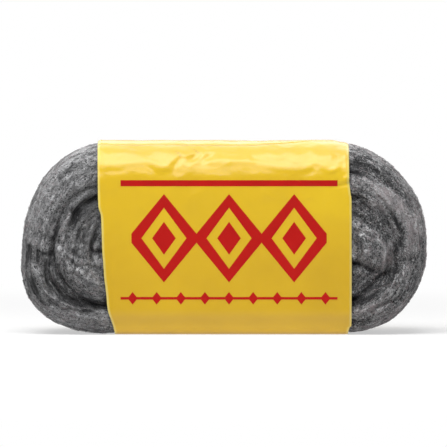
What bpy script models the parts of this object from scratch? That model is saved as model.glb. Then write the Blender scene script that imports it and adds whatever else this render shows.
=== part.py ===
"""Steel wool roll: an oval hank of steel wool, wound flat, in a band of printed plastic film.

Metres, +Z up. X runs along the roll, its broad front faces -Y, and it rests on its flat
underside with the origin at the middle of the base.
"""

import math

import bmesh
import bpy
import numpy as np
from mathutils import Vector

# Roll of wool, seen from the front
ROLL_LENGTH = 0.1606
ROLL_HEIGHT = 0.0758
ROLL_DEPTH = 0.050
END_REACH = 0.0387
CORE_HEIGHT = 0.0335
LEFT_NOSE_HEIGHT = 0.0286
RIGHT_NOSE_HEIGHT = 0.0370
LEFT_UPPER_FULLNESS = 2.36
LEFT_LOWER_FULLNESS = 2.22
RIGHT_UPPER_FULLNESS = 2.05
RIGHT_LOWER_FULLNESS = 2.40

# Edges of the wool, and the swelling where the film leaves it free
TOP_EDGE_RADIUS = 0.0150
BASE_EDGE_RADIUS = 0.0080
END_PUFF = 0.0014
PUFF_RUN = 0.0080

# Turns of the wool: a spiral groove, which moves in by one turn under the film
TURNS = 3
GROOVE_DEPTH = 0.0050
GROOVE_SHARPNESS = 0.6
CORE_SINK = 0.0050
CORE_SHARE = 0.88
CROSSING_SHARE = 0.9

# Bundles of wool that run side by side round the rim, with a furrow between each two. A furrow
# wanders by a share of a bundle's width, in long waves, and fades near the rim's two edges.
RIM_BUNDLES = 3
FURROW_DEPTH = 0.0016
FURROW_WANDER = 0.14
FURROW_WAVE = 0.012
FURROW_EASE = 0.16

# Film sleeve
FILM_THICKNESS = 0.0004
FILM_CLEARANCE = 0.0003
SLEEVE_LEFT_TOP = -0.0502
SLEEVE_LEFT_BASE = -0.0452
SLEEVE_RIGHT = 0.0504
LAP_WIDTH = 0.014
LAP_HEIGHT = 0.036

# Red print on the sleeve's front
INK_THICKNESS = 0.0002
PRINT_CENTRE_X = 0.0020
LOZENGES = 3
LOZENGE_WIDTH = 0.0258
LOZENGE_HEIGHT = 0.0350
LOZENGE_STROKE = 0.0032
LOZENGE_NECK = 0.0036
LOZENGE_CENTRE_HEIGHT = 0.0384
DIAMOND_WIDTH = 0.0094
DIAMOND_HEIGHT = 0.0130
UPPER_RULE_CLEARANCE = 0.0031
UPPER_RULE_LENGTH = 0.0860
UPPER_RULE_WIDTH = 0.0024
BEADED_RULE_CLEARANCE = 0.0038
BEADED_RULE_LENGTH = 0.0860
BEADED_RULE_WIDTH = 0.0010
BEADS = 9
BEAD_WIDTH = 0.0040
BEAD_HEIGHT = 0.0050

# Fineness of the meshes
RUN_SEGMENTS = 6
END_SEGMENTS = 42
EDGE_ROWS = 4
FRONT_ROWS = 27
BACK_ROWS = 12
RIM_ROWS = 12
CORNER_SEGMENTS = 9
FOLD_SEGMENTS = 6
OUTLINE_STEPS = 400

# The folds start at this share of the wool's edge radius, counted in from the outline
FOLD_EASE = 0.7

# How sharply one fold takes over from another: 1 rounds the change, more makes it a crease
FOLD_BLEND = 2.5

# The ridges rise over this distance past the film
RIDGE_RUN = 0.003

# How blunt the bottom of a groove is, as a share of its half width, and how much the mesh evens it out
GROOVE_BLUNTNESS = 0.12
FOLD_SMOOTHING = 0.5

# Folds of the front face at each end: kind, half width, and a line of points, each with its distance
# in from the end, its height above the base and the fold's depth there. A ridge stands out by its depth.
LEFT_FOLDS = {
    "outer groove": ("groove", 0.0054, (
        (0.0376, 0.0591, 0.0020), (0.0269, 0.0579, 0.0020), (0.0202, 0.0544, 0.0020),
        (0.0158, 0.0476, 0.0030), (0.0138, 0.0405, 0.0046), (0.0126, 0.0338, 0.0038),
        (0.0142, 0.0270, 0.0032), (0.0182, 0.0203, 0.0036), (0.0241, 0.0143, 0.0046),
        (0.0333, 0.0116, 0.0054), (0.0384, 0.0116, 0.0054))),
    "groove over the core": ("groove", 0.0048, (
        (0.0376, 0.0551, 0.0042), (0.0277, 0.0536, 0.0042), (0.0225, 0.0496, 0.0037),
        (0.0202, 0.0437, 0.0021), (0.0206, 0.0377, 0.0005))),
    "groove under the core": ("groove", 0.0046, (
        (0.0376, 0.0330, 0.0040), (0.0289, 0.0330, 0.0035), (0.0265, 0.0377, 0.0024),
        (0.0285, 0.0437, 0.0010))),
    "kink across the outer turn": ("groove", 0.0046, (
        (-0.0008, 0.0353, 0.0018), (0.0059, 0.0334, 0.0018), (0.0118, 0.0314, 0.0020))),
    "groove along the lower rim": ("groove", 0.0044, (
        (0.0011, 0.0290, 0.0006), (0.0035, 0.0207, 0.0014), (0.0091, 0.0139, 0.0015),
        (0.0166, 0.0104, 0.0012), (0.0285, 0.0088, 0.0007))),
    "groove under the top": ("groove", 0.0044, (
        (0.0305, 0.0658, 0.0006), (0.0194, 0.0647, 0.0008), (0.0134, 0.0575, 0.0007),
        (0.0122, 0.0524, 0.0005))),
    "hollow in the lower bend": ("hollow", 0.0042, (
        (0.0103, 0.0290, 0.0010), (0.0118, 0.0211, 0.0028), (0.0186, 0.0147, 0.0032),
        (0.0229, 0.0131, 0.0030))),
    "sunken core": ("hollow", 0.0062, (
        (0.0376, 0.0464, 0.0024), (0.0277, 0.0448, 0.0018), (0.0253, 0.0409, 0.0012))),
    "swell above the kink": ("ridge", 0.0044, ((0.0023, 0.0393, 0.0012), (0.0095, 0.0361, 0.0012))),
    "ridge inside the outer groove": ("ridge", 0.0030, (
        (0.0146, 0.0338, 0.0010), (0.0198, 0.0270, 0.0012), (0.0305, 0.0195, 0.0012))),
    "ridge round the core": ("ridge", 0.0030, (
        (0.0229, 0.0532, 0.0007), (0.0178, 0.0460, 0.0010), (0.0166, 0.0377, 0.0008))),
}
RIGHT_FOLDS = {
    "outer groove": ("groove", 0.0066, (
        (0.0368, 0.0524, 0.0020), (0.0261, 0.0512, 0.0023), (0.0189, 0.0476, 0.0035),
        (0.0145, 0.0430, 0.0035), (0.0122, 0.0377, 0.0033), (0.0122, 0.0338, 0.0041),
        (0.0142, 0.0278, 0.0042), (0.0178, 0.0234, 0.0041), (0.0229, 0.0187, 0.0033),
        (0.0281, 0.0143, 0.0046), (0.0360, 0.0128, 0.0051))),
    "groove under the inner turn": ("groove", 0.0052, (
        (0.0360, 0.0290, 0.0042), (0.0261, 0.0274, 0.0036), (0.0185, 0.0246, 0.0026),
        (0.0158, 0.0242, 0.0022))),
    "kink across the outer turn": ("groove", 0.0042, (
        (0.0118, 0.0286, 0.0010), (0.0067, 0.0302, 0.0012), (0.0011, 0.0322, 0.0005))),
    "groove inside the lower rim": ("groove", 0.0042, (
        (0.0193, 0.0116, 0.0007), (0.0130, 0.0139, 0.0013), (0.0074, 0.0179, 0.0006))),
    "groove along the lower rim": ("groove", 0.0044, (
        (0.0360, 0.0044, 0.0019), (0.0257, 0.0056, 0.0017), (0.0178, 0.0088, 0.0006))),
    "hollow above the outer groove": ("hollow", 0.0036, (
        (0.0360, 0.0551, 0.0024), (0.0296, 0.0547, 0.0022), (0.0265, 0.0544, 0.0012))),
    "hollow under the top": ("hollow", 0.0050, (
        (0.0360, 0.0670, 0.0020), (0.0261, 0.0674, 0.0020), (0.0189, 0.0635, 0.0022),
        (0.0126, 0.0583, 0.0016), (0.0102, 0.0555, 0.0008))),
    "hollow under the inner turn": ("hollow", 0.0052, (
        (0.0360, 0.0203, 0.0024), (0.0253, 0.0215, 0.0020), (0.0221, 0.0231, 0.0014))),
    "ridge of the outer turn": ("ridge", 0.0040, (
        (0.0360, 0.0607, 0.0008), (0.0237, 0.0611, 0.0010), (0.0166, 0.0567, 0.0016),
        (0.0110, 0.0504, 0.0016), (0.0078, 0.0421, 0.0014), (0.0082, 0.0345, 0.0006))),
    "swell of the inner turn": ("ridge", 0.0080, (
        (0.0360, 0.0353, 0.0012), (0.0269, 0.0349, 0.0018), (0.0181, 0.0310, 0.0014))),
    "ridge over the inner turn": ("ridge", 0.0032, (
        (0.0360, 0.0444, 0.0008), (0.0257, 0.0425, 0.0010), (0.0189, 0.0381, 0.0010),
        (0.0154, 0.0310, 0.0008))),
    "ridge along the lower turn": ("ridge", 0.0036, (
        (0.0360, 0.0092, 0.0008), (0.0237, 0.0108, 0.0011), (0.0158, 0.0175, 0.0012),
        (0.0090, 0.0266, 0.0006))),
}

# Sizes that follow from the ones above
FILM_OFFSET = FILM_CLEARANCE + FILM_THICKNESS
ROLL_BASE = FILM_OFFSET
ROLL_TOP = ROLL_BASE + ROLL_HEIGHT
CORE_HALF_LENGTH = ROLL_LENGTH / 2 - END_REACH
CORE_DEPTH = ROLL_DEPTH / 2 - CORE_SINK
PRINT_PLANE = -(ROLL_DEPTH / 2 + FILM_OFFSET)


def smooth_step(low, high, value):
    """0 below low, 1 above high, with a smooth rise between them."""
    share = min(max((value - low) / (high - low), 0.0), 1.0)
    return share * share * (3.0 - 2.0 * share)


def material(name, colour, roughness, metallic):
    """Principled material in one colour."""
    finish = bpy.data.materials.new(name)
    finish.use_nodes = True
    shader = finish.node_tree.nodes["Principled BSDF"]
    shader.inputs["Base Color"].default_value = (*colour, 1.0)
    shader.inputs["Roughness"].default_value = roughness
    shader.inputs["Metallic"].default_value = metallic
    finish.diffuse_color = (*colour, 1.0)
    return finish


def finished_object(name, mesh_data, finish):
    """Object of a bmesh, with its faces turned outwards."""
    bmesh.ops.recalc_face_normals(mesh_data, faces=mesh_data.faces[:])
    mesh = bpy.data.meshes.new(name)
    mesh_data.to_mesh(mesh)
    mesh_data.free()
    mesh.materials.append(finish)
    piece = bpy.data.objects.new(name, mesh)
    bpy.context.collection.objects.link(piece)
    return piece


def join_sections(mesh_data, sections):
    """Closed skin over sections that follow each other round a loop."""
    for index, section in enumerate(sections):
        following = sections[(index + 1) % len(sections)]
        for row in range(len(section) - 1):
            corners = [section[row], section[row + 1], following[row + 1], following[row]]
            corners = list(dict.fromkeys(corners))
            if len(corners) > 2:
                mesh_data.faces.new(corners)


def end_point(side, angle):
    """Outline point of one rounded end, from -90 degrees at the base to 90 at the top."""
    nose = LEFT_NOSE_HEIGHT if side < 0 else RIGHT_NOSE_HEIGHT
    if angle < 0:
        fullness = LEFT_LOWER_FULLNESS if side < 0 else RIGHT_LOWER_FULLNESS
        rise = nose - ROLL_BASE
    else:
        fullness = LEFT_UPPER_FULLNESS if side < 0 else RIGHT_UPPER_FULLNESS
        rise = ROLL_TOP - nose
    reach = END_REACH * math.cos(angle) ** (2.0 / fullness)
    climb = rise * abs(math.sin(angle)) ** (2.0 / fullness)
    return (side * (CORE_HALF_LENGTH + reach), nose + math.copysign(climb, angle))


def even_end(side):
    """Evenly spaced points along one end's outline, from the base up, without its first and last."""
    angles = [math.pi * (step / OUTLINE_STEPS - 0.5) for step in range(OUTLINE_STEPS + 1)]
    x, z = np.array([end_point(side, angle) for angle in angles]).T
    length = np.concatenate([[0.0], np.cumsum(np.hypot(np.diff(x), np.diff(z)))])
    places = length[-1] * np.arange(1, END_SEGMENTS) / END_SEGMENTS
    return list(zip(np.interp(places, length, x), np.interp(places, length, z)))


def outline_stations(core):
    """Outline point, place on the core and turn phase, once round from the middle of the base.

    The phase says how far each turn has moved in. It moves on the base run, under the film.
    """
    last = RUN_SEGMENTS
    middle = last // 2
    drift = 1.0 - CROSSING_SHARE
    stations = [((core[i], ROLL_BASE), i, 0.0) for i in range(middle, -1, -1)]
    stations += [(point, 0, 0.0) for point in even_end(-1)]
    stations += [((core[i], ROLL_TOP), i, drift * i / last) for i in range(last + 1)]
    stations += [(point, last, drift) for point in reversed(even_end(1))]
    stations += [((core[i], ROLL_BASE), i, drift + CROSSING_SHARE * (last - i) / (last - middle))
                 for i in range(last, middle, -1)]
    return stations


def edge_radius(height):
    """Radius of the wool's long edges: tight at the base it is pressed on, and fuller at the top."""
    return BASE_EDGE_RADIUS + (TOP_EDGE_RADIUS - BASE_EDGE_RADIUS) * (height - ROLL_BASE) / ROLL_HEIGHT


def smooth_line(points):
    """Catmull-Rom curve through points that each carry a value besides their place."""
    knots = [Vector(point) for point in points]
    knots = [2.0 * knots[0] - knots[1], *knots, 2.0 * knots[-1] - knots[-2]]
    line = []
    for before, start, end, after in zip(knots, knots[1:], knots[2:], knots[3:]):
        for step in range(FOLD_SEGMENTS):
            t = step / FOLD_SEGMENTS
            line.append(0.5 * (2.0 * start + (end - before) * t
                               + (2.0 * before - 5.0 * start + 4.0 * end - after) * t ** 2
                               + (3.0 * start - before - 3.0 * end + after) * t ** 3))
    line.append(knots[-2])
    return line


def nearest_on_line(place, line):
    """Shortest distance from a place to a line of short runs, and the value that the line has there."""
    nearest = math.inf
    value = 0.0
    for start, end in zip(line, line[1:]):
        run = end.xy - start.xy
        share = min(max((place - start.xy).dot(run) / run.length_squared, 0.0), 1.0)
        distance = (place - start.xy - run * share).length
        if distance < nearest:
            nearest = distance
            value = start.z + (end.z - start.z) * share
    return nearest, value


def front_folds():
    """Kind, half width and line of each fold. The line runs in X and Z, and carries the depth."""
    folds = []
    for side, end_folds in ((-1, LEFT_FOLDS), (1, RIGHT_FOLDS)):
        for kind, half_width, points in end_folds.values():
            placed = [(side * (ROLL_LENGTH / 2 - inward), *rest) for inward, *rest in points]
            folds.append((kind, half_width, smooth_line(placed)))
    return folds


def free_of_film(x, run):
    """0 under the film, rising to 1 at a distance past its edges."""
    return smooth_step(SLEEVE_RIGHT, SLEEVE_RIGHT + run, abs(x))


def fold_depth(x, z, folds):
    """How far the folds sink the front at one place. Where two grooves meet, the deeper one rules."""
    sunk = 0.0
    raised = 0.0
    for kind, half_width, line in folds:
        distance, depth = nearest_on_line(Vector((x, z)), line)
        away = distance / half_width
        if kind == "groove":
            relief = depth * max(1.0 - math.hypot(away, GROOVE_BLUNTNESS), 0.0) ** 2
        else:
            relief = depth * (1.0 - smooth_step(0.0, 1.0, away))
        if kind == "ridge":
            raised += relief
        else:
            sunk = (sunk ** FOLD_BLEND + relief ** FOLD_BLEND) ** (1.0 / FOLD_BLEND)
    return sunk - raised * free_of_film(x, RIDGE_RUN)


def groove_profile(turn):
    """1 in the groove between two turns, at a whole number of turns, and 0 on the turns' crests."""
    return 1.0 - abs(math.sin(math.pi * turn)) ** GROOVE_SHARPNESS


def face_point(station, core, inward, side, folds):
    """Point of the front (side -1) or the back (side 1), at a distance in from the outline."""
    (outline_x, outline_z), core_index, phase = station
    core_x = core[core_index]
    share = inward / math.dist((outline_x, outline_z), (core_x, CORE_HEIGHT))
    x = outline_x + (core_x - outline_x) * share
    z = outline_z + (CORE_HEIGHT - outline_z) * share
    radius = edge_radius(outline_z)
    short = max(radius - inward, 0.0)
    swelling = END_PUFF * free_of_film(x, PUFF_RUN)
    depth = ROLL_DEPTH / 2 + swelling - radius + math.sqrt(radius * radius - short * short)
    if side < 0:
        depth -= fold_depth(x, z, folds) * smooth_step(0.0, FOLD_EASE * radius, inward)
    else:
        depth -= GROOVE_DEPTH * groove_profile(TURNS * share + phase) * smooth_step(0.0, radius, inward)
        depth += (CORE_DEPTH - depth) * smooth_step(CORE_SHARE, 1.0, share)
    return Vector((x, side * depth, z))


def rim_point(front_edge, back_edge, share, core_x):
    """Point of the rim at a share of the way from its front edge to its back edge."""
    point = front_edge.lerp(back_edge, share)
    to_core = Vector((core_x - point.x, 0.0, CORE_HEIGHT - point.z))
    wander = FURROW_WANDER * math.sin((point.x + point.z) / FURROW_WAVE)
    free = free_of_film(point.x, PUFF_RUN) * smooth_step(0.0, FURROW_EASE, min(share, 1.0 - share))
    furrow = FURROW_DEPTH * groove_profile(RIM_BUNDLES * share + wander) * free
    return point + to_core.normalized() * furrow


def wool_roll():
    """The wound wool: folds on the front, a spiral groove on the back, and bundles round the rim."""
    mesh_data = bmesh.new()
    folds = front_folds()
    core = [CORE_HALF_LENGTH * (2.0 * step / RUN_SEGMENTS - 1.0) for step in range(RUN_SEGMENTS + 1)]
    stations = outline_stations(core)
    front_core = [mesh_data.verts.new((x, -ROLL_DEPTH / 2, CORE_HEIGHT)) for x in core]
    back_core = [mesh_data.verts.new((x, CORE_DEPTH, CORE_HEIGHT)) for x in core]
    sections = []
    folded = []
    for station in stations:
        outline, core_index, phase = station
        core_x = core[core_index]
        reach = math.dist(outline, (core_x, CORE_HEIGHT))
        radius = edge_radius(outline[1])
        edge = [radius * (1.0 - math.cos(0.5 * math.pi * row / EDGE_ROWS)) for row in range(EDGE_ROWS)]
        front_steps = edge + [radius + (reach - radius) * row / FRONT_ROWS for row in range(FRONT_ROWS)]
        back_steps = edge + [radius + (reach - radius) * row / BACK_ROWS for row in range(BACK_ROWS)]
        front = [face_point(station, core, step, -1, folds) for step in reversed(front_steps)]
        back = [face_point(station, core, step, 1, folds) for step in back_steps]
        rim = [rim_point(front[-1], back[0], row / RIM_ROWS, core_x) for row in range(1, RIM_ROWS)]
        points = [mesh_data.verts.new(point) for point in (*front, *rim, *back)]
        folded += points[:FRONT_ROWS]
        sections.append([front_core[core_index], *points, back_core[core_index]])
    join_sections(mesh_data, sections)
    # Evens out the folds where they run askew to the rows of the mesh
    bmesh.ops.smooth_vert(mesh_data, verts=folded, factor=FOLD_SMOOTHING, use_axis_y=True)
    grey = material("steel_wool", (0.24, 0.24, 0.25), 0.55, 0.6)
    piece = finished_object("wool_roll", mesh_data, grey)
    piece.data.shade_smooth()
    return piece


def sleeve_loop(offset, lap_rise):
    """Section of the film, in Y and Z, at an offset from the wool that it holds."""
    half = ROLL_DEPTH / 2 + offset
    low = ROLL_BASE - offset
    high = ROLL_TOP + offset
    corners = [
        (-half, low, BASE_EDGE_RADIUS + offset, 180.0),
        (half, low, BASE_EDGE_RADIUS + offset, 270.0),
        (half, high, TOP_EDGE_RADIUS + offset, 0.0),
        (-half, high, TOP_EDGE_RADIUS + offset, 90.0),
    ]
    points = []
    for y, z, radius, first_angle in corners:
        centre_y = y - math.copysign(radius, y)
        centre_z = z + radius if z == low else z - radius
        for step in range(CORNER_SEGMENTS + 1):
            angle = math.radians(first_angle + 90.0 * step / CORNER_SEGMENTS)
            points.append((centre_y + radius * math.cos(angle), centre_z + radius * math.sin(angle)))
        if (y, z) == (half, low):
            lap_low = LAP_HEIGHT - LAP_WIDTH / 2
            lap_high = LAP_HEIGHT + LAP_WIDTH / 2
            points += [(half, lap_low), (half + lap_rise, lap_low + FILM_THICKNESS),
                       (half + lap_rise, lap_high - FILM_THICKNESS), (half, lap_high)]
    return points


def sleeve():
    """Band of film round the wool, with a slanted left edge and a lap at the back."""
    mesh_data = bmesh.new()
    outer = sleeve_loop(FILM_OFFSET, FILM_THICKNESS)
    inner = sleeve_loop(FILM_CLEARANCE, 0.0)
    sections = []
    for outer_point, inner_point in zip(outer, inner):
        height_share = outer_point[1] / (ROLL_TOP + FILM_OFFSET)
        left = SLEEVE_LEFT_BASE + (SLEEVE_LEFT_TOP - SLEEVE_LEFT_BASE) * height_share
        outer_edges = [(left, *outer_point), (SLEEVE_RIGHT, *outer_point)]
        inner_edges = [(SLEEVE_RIGHT, *inner_point), (left, *inner_point)]
        section = [mesh_data.verts.new(corner) for corner in outer_edges + inner_edges]
        sections.append([*section, section[0]])
    join_sections(mesh_data, sections)
    yellow = material("yellow_film", (0.70, 0.45, 0.035), 0.35, 0.0)
    piece = finished_object("sleeve", mesh_data, yellow)
    piece.data.shade_smooth()
    piece.data.set_sharp_from_angle(angle=math.radians(40.0))
    return piece


def print_plate(name, faces, ink):
    """Thin plate of ink on the sleeve's flat front, from faces given in X and Z."""
    mesh_data = bmesh.new()
    corners = {}
    for face in faces:
        for point in face:
            if point not in corners:
                corners[point] = mesh_data.verts.new((point[0], PRINT_PLANE, point[1]))
        mesh_data.faces.new([corners[point] for point in face])
    raised = bmesh.ops.extrude_face_region(mesh_data, geom=mesh_data.faces[:])["geom"]
    outer_points = [item for item in raised if isinstance(item, bmesh.types.BMVert)]
    bmesh.ops.translate(mesh_data, verts=outer_points, vec=(0.0, -INK_THICKNESS, 0.0))
    return finished_object(name, mesh_data, ink)


def rhombus(x, z, width, height):
    """Left, top, right and lower corner of an upright rhombus."""
    return [(x - width / 2, z), (x, z + height / 2), (x + width / 2, z), (x, z - height / 2)]


def lozenge_chain(neck_places, ink):
    """Row of open lozenges that run into each other at short upright necks."""
    slant = math.hypot(LOZENGE_WIDTH, LOZENGE_HEIGHT)
    hole_width = LOZENGE_WIDTH - 2.0 * LOZENGE_STROKE * slant / LOZENGE_HEIGHT
    hole_height = LOZENGE_HEIGHT - 2.0 * LOZENGE_STROKE * slant / LOZENGE_WIDTH
    middle = LOZENGE_CENTRE_HEIGHT
    upper = middle + LOZENGE_NECK / 2
    lower = middle - LOZENGE_NECK / 2
    faces = []
    for left, right in zip(neck_places, neck_places[1:]):
        x = (left + right) / 2
        hole_left, hole_top, hole_right, hole_base = rhombus(x, middle, hole_width, hole_height)
        top = (x, middle + LOZENGE_HEIGHT / 2)
        base = (x, middle - LOZENGE_HEIGHT / 2)
        faces += [
            [(left, lower), (left, upper), hole_left],
            [(left, upper), top, hole_top, hole_left],
            [top, (right, upper), hole_right, hole_top],
            [(right, upper), (right, lower), hole_right],
            [(right, lower), base, hole_base, hole_right],
            [base, (left, lower), hole_left, hole_base],
        ]
    print_plate("print_lozenges", faces, ink)


def beaded_rule(ink):
    """Thin straight rule with small rhombic beads along it, below the lozenges."""
    left = PRINT_CENTRE_X - BEADED_RULE_LENGTH / 2
    middle = LOZENGE_CENTRE_HEIGHT - LOZENGE_HEIGHT / 2 - BEADED_RULE_CLEARANCE - BEAD_HEIGHT / 2
    upper = middle + BEADED_RULE_WIDTH / 2
    # How far each side of its middle a bead meets the rule
    meet = BEAD_WIDTH / 2 * (1.0 - BEADED_RULE_WIDTH / BEAD_HEIGHT)
    edge = [(left, upper)]
    for bead in range(BEADS):
        x = left + BEADED_RULE_LENGTH * (bead + 0.5) / BEADS
        edge += [(x - meet, upper), (x, middle + BEAD_HEIGHT / 2), (x + meet, upper)]
    edge.append((left + BEADED_RULE_LENGTH, upper))
    mirrored = [(x, 2.0 * middle - z) for x, z in reversed(edge)]
    print_plate("print_beaded_rule", [edge + mirrored], ink)


def upper_rule(ink):
    """Plain straight rule above the lozenges."""
    left = PRINT_CENTRE_X - UPPER_RULE_LENGTH / 2
    right = left + UPPER_RULE_LENGTH
    low = LOZENGE_CENTRE_HEIGHT + LOZENGE_HEIGHT / 2 + UPPER_RULE_CLEARANCE
    high = low + UPPER_RULE_WIDTH
    print_plate("print_upper_rule", [[(left, low), (right, low), (right, high), (left, high)]], ink)


def print_design():
    """Red design on the front: an upper rule, a row of lozenges with solid hearts, a beaded rule."""
    ink = material("red_ink", (0.46, 0.016, 0.010), 0.4, 0.0)
    first_neck = PRINT_CENTRE_X - LOZENGE_WIDTH * LOZENGES / 2
    neck_places = [first_neck + LOZENGE_WIDTH * index for index in range(LOZENGES + 1)]
    lozenge_chain(neck_places, ink)
    for index, neck in enumerate(neck_places[:-1]):
        corners = rhombus(neck + LOZENGE_WIDTH / 2, LOZENGE_CENTRE_HEIGHT, DIAMOND_WIDTH, DIAMOND_HEIGHT)
        print_plate(f"print_diamond_{index + 1}", [corners], ink)
    upper_rule(ink)
    beaded_rule(ink)


def main():
    for old in list(bpy.data.objects):
        bpy.data.objects.remove(old, do_unlink=True)
    wool_roll()
    sleeve()
    print_design()


main()
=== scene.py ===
"""Looks of the steel wool roll: the wound wool with its fibres, and the printed film that holds it."""
import math

import bmesh
import bpy
import numpy as np
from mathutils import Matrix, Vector


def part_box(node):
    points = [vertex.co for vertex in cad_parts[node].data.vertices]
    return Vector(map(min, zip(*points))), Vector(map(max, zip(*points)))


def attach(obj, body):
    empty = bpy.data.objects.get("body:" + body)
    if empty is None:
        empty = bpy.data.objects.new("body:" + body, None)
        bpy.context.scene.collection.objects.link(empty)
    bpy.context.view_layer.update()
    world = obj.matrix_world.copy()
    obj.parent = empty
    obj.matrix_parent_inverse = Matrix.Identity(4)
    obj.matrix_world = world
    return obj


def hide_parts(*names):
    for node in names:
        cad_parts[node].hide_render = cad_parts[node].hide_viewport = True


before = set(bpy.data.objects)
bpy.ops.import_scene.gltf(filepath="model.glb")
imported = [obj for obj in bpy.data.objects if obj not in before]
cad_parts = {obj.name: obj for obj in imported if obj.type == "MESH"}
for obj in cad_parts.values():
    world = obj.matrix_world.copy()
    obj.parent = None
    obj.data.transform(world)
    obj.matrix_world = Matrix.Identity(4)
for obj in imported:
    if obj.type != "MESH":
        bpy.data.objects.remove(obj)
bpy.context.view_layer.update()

MM = 0.001

# The camera: nearly level, as the photograph was taken, and what its frame spans where it aims
CAMERA_ELEVATION = math.radians(1.0)
CAMERA_DISTANCE = 1.8
FRAME_WIDTH = 179.7 * MM
AIM_X = -0.2 * MM
AIM_HEIGHT = 43.8 * MM

# The wool roll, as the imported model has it
WOOL_LOW, WOOL_HIGH = (np.array(corner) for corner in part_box("wool_roll"))
ROLL_LENGTH = WOOL_HIGH[0] - WOOL_LOW[0]
ROLL_BASE = WOOL_LOW[2]
ROLL_TOP = WOOL_HIGH[2]
ROLL_HEIGHT = ROLL_TOP - ROLL_BASE
ROLL_DEPTH = 50.0 * MM
END_REACH = 38.7 * MM
CORE_HEIGHT = 33.5 * MM
CORE_HALF_LENGTH = ROLL_LENGTH / 2 - END_REACH
NOSE_HEIGHT = {-1: 28.6 * MM, 1: 37.0 * MM}
UPPER_FULLNESS = {-1: 2.36, 1: 2.05}
LOWER_FULLNESS = {-1: 2.22, 1: 2.40}
TOP_EDGE_RADIUS = 15.0 * MM
BASE_EDGE_RADIUS = 8.0 * MM

# The ends puff out where the film ends, and it presses the faces in a little
END_PUFF = 1.4 * MM
PUFF_RUN = 8.0 * MM
PRESS_DEPTH = 0.3 * MM
PRESS_RUN = 1.5 * MM

# The spiral on the back: its turns, the share of a turn that it gains over the top, its grooves' depth, and
# the share of the way to the core from which on it is flat
TURNS = 3
TURN_DRIFT = 0.1
BACK_GROOVE_DEPTH = 5.0 * MM
BACK_CORE_START = 0.88

# The bundles of wool round the rim and the furrows between them, which are as sharp as the back's grooves
GROOVE_SHARPNESS = 0.6
RIM_BUNDLES = 3
FURROW_DEPTH = 1.6 * MM
FURROW_WANDER = 0.14
FURROW_WAVE = 12.0 * MM
FURROW_EASE = 0.16

# Fineness of the wool's mesh
OUTLINE_STEPS = 2000
RUN_STATIONS = 8
END_STATIONS = 190
FRONT_EDGE_ROWS = 42
FRONT_FACE_ROWS = 54
BACK_EDGE_ROWS = 28
BACK_FACE_ROWS = 34
RIM_ROWS = 44

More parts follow.
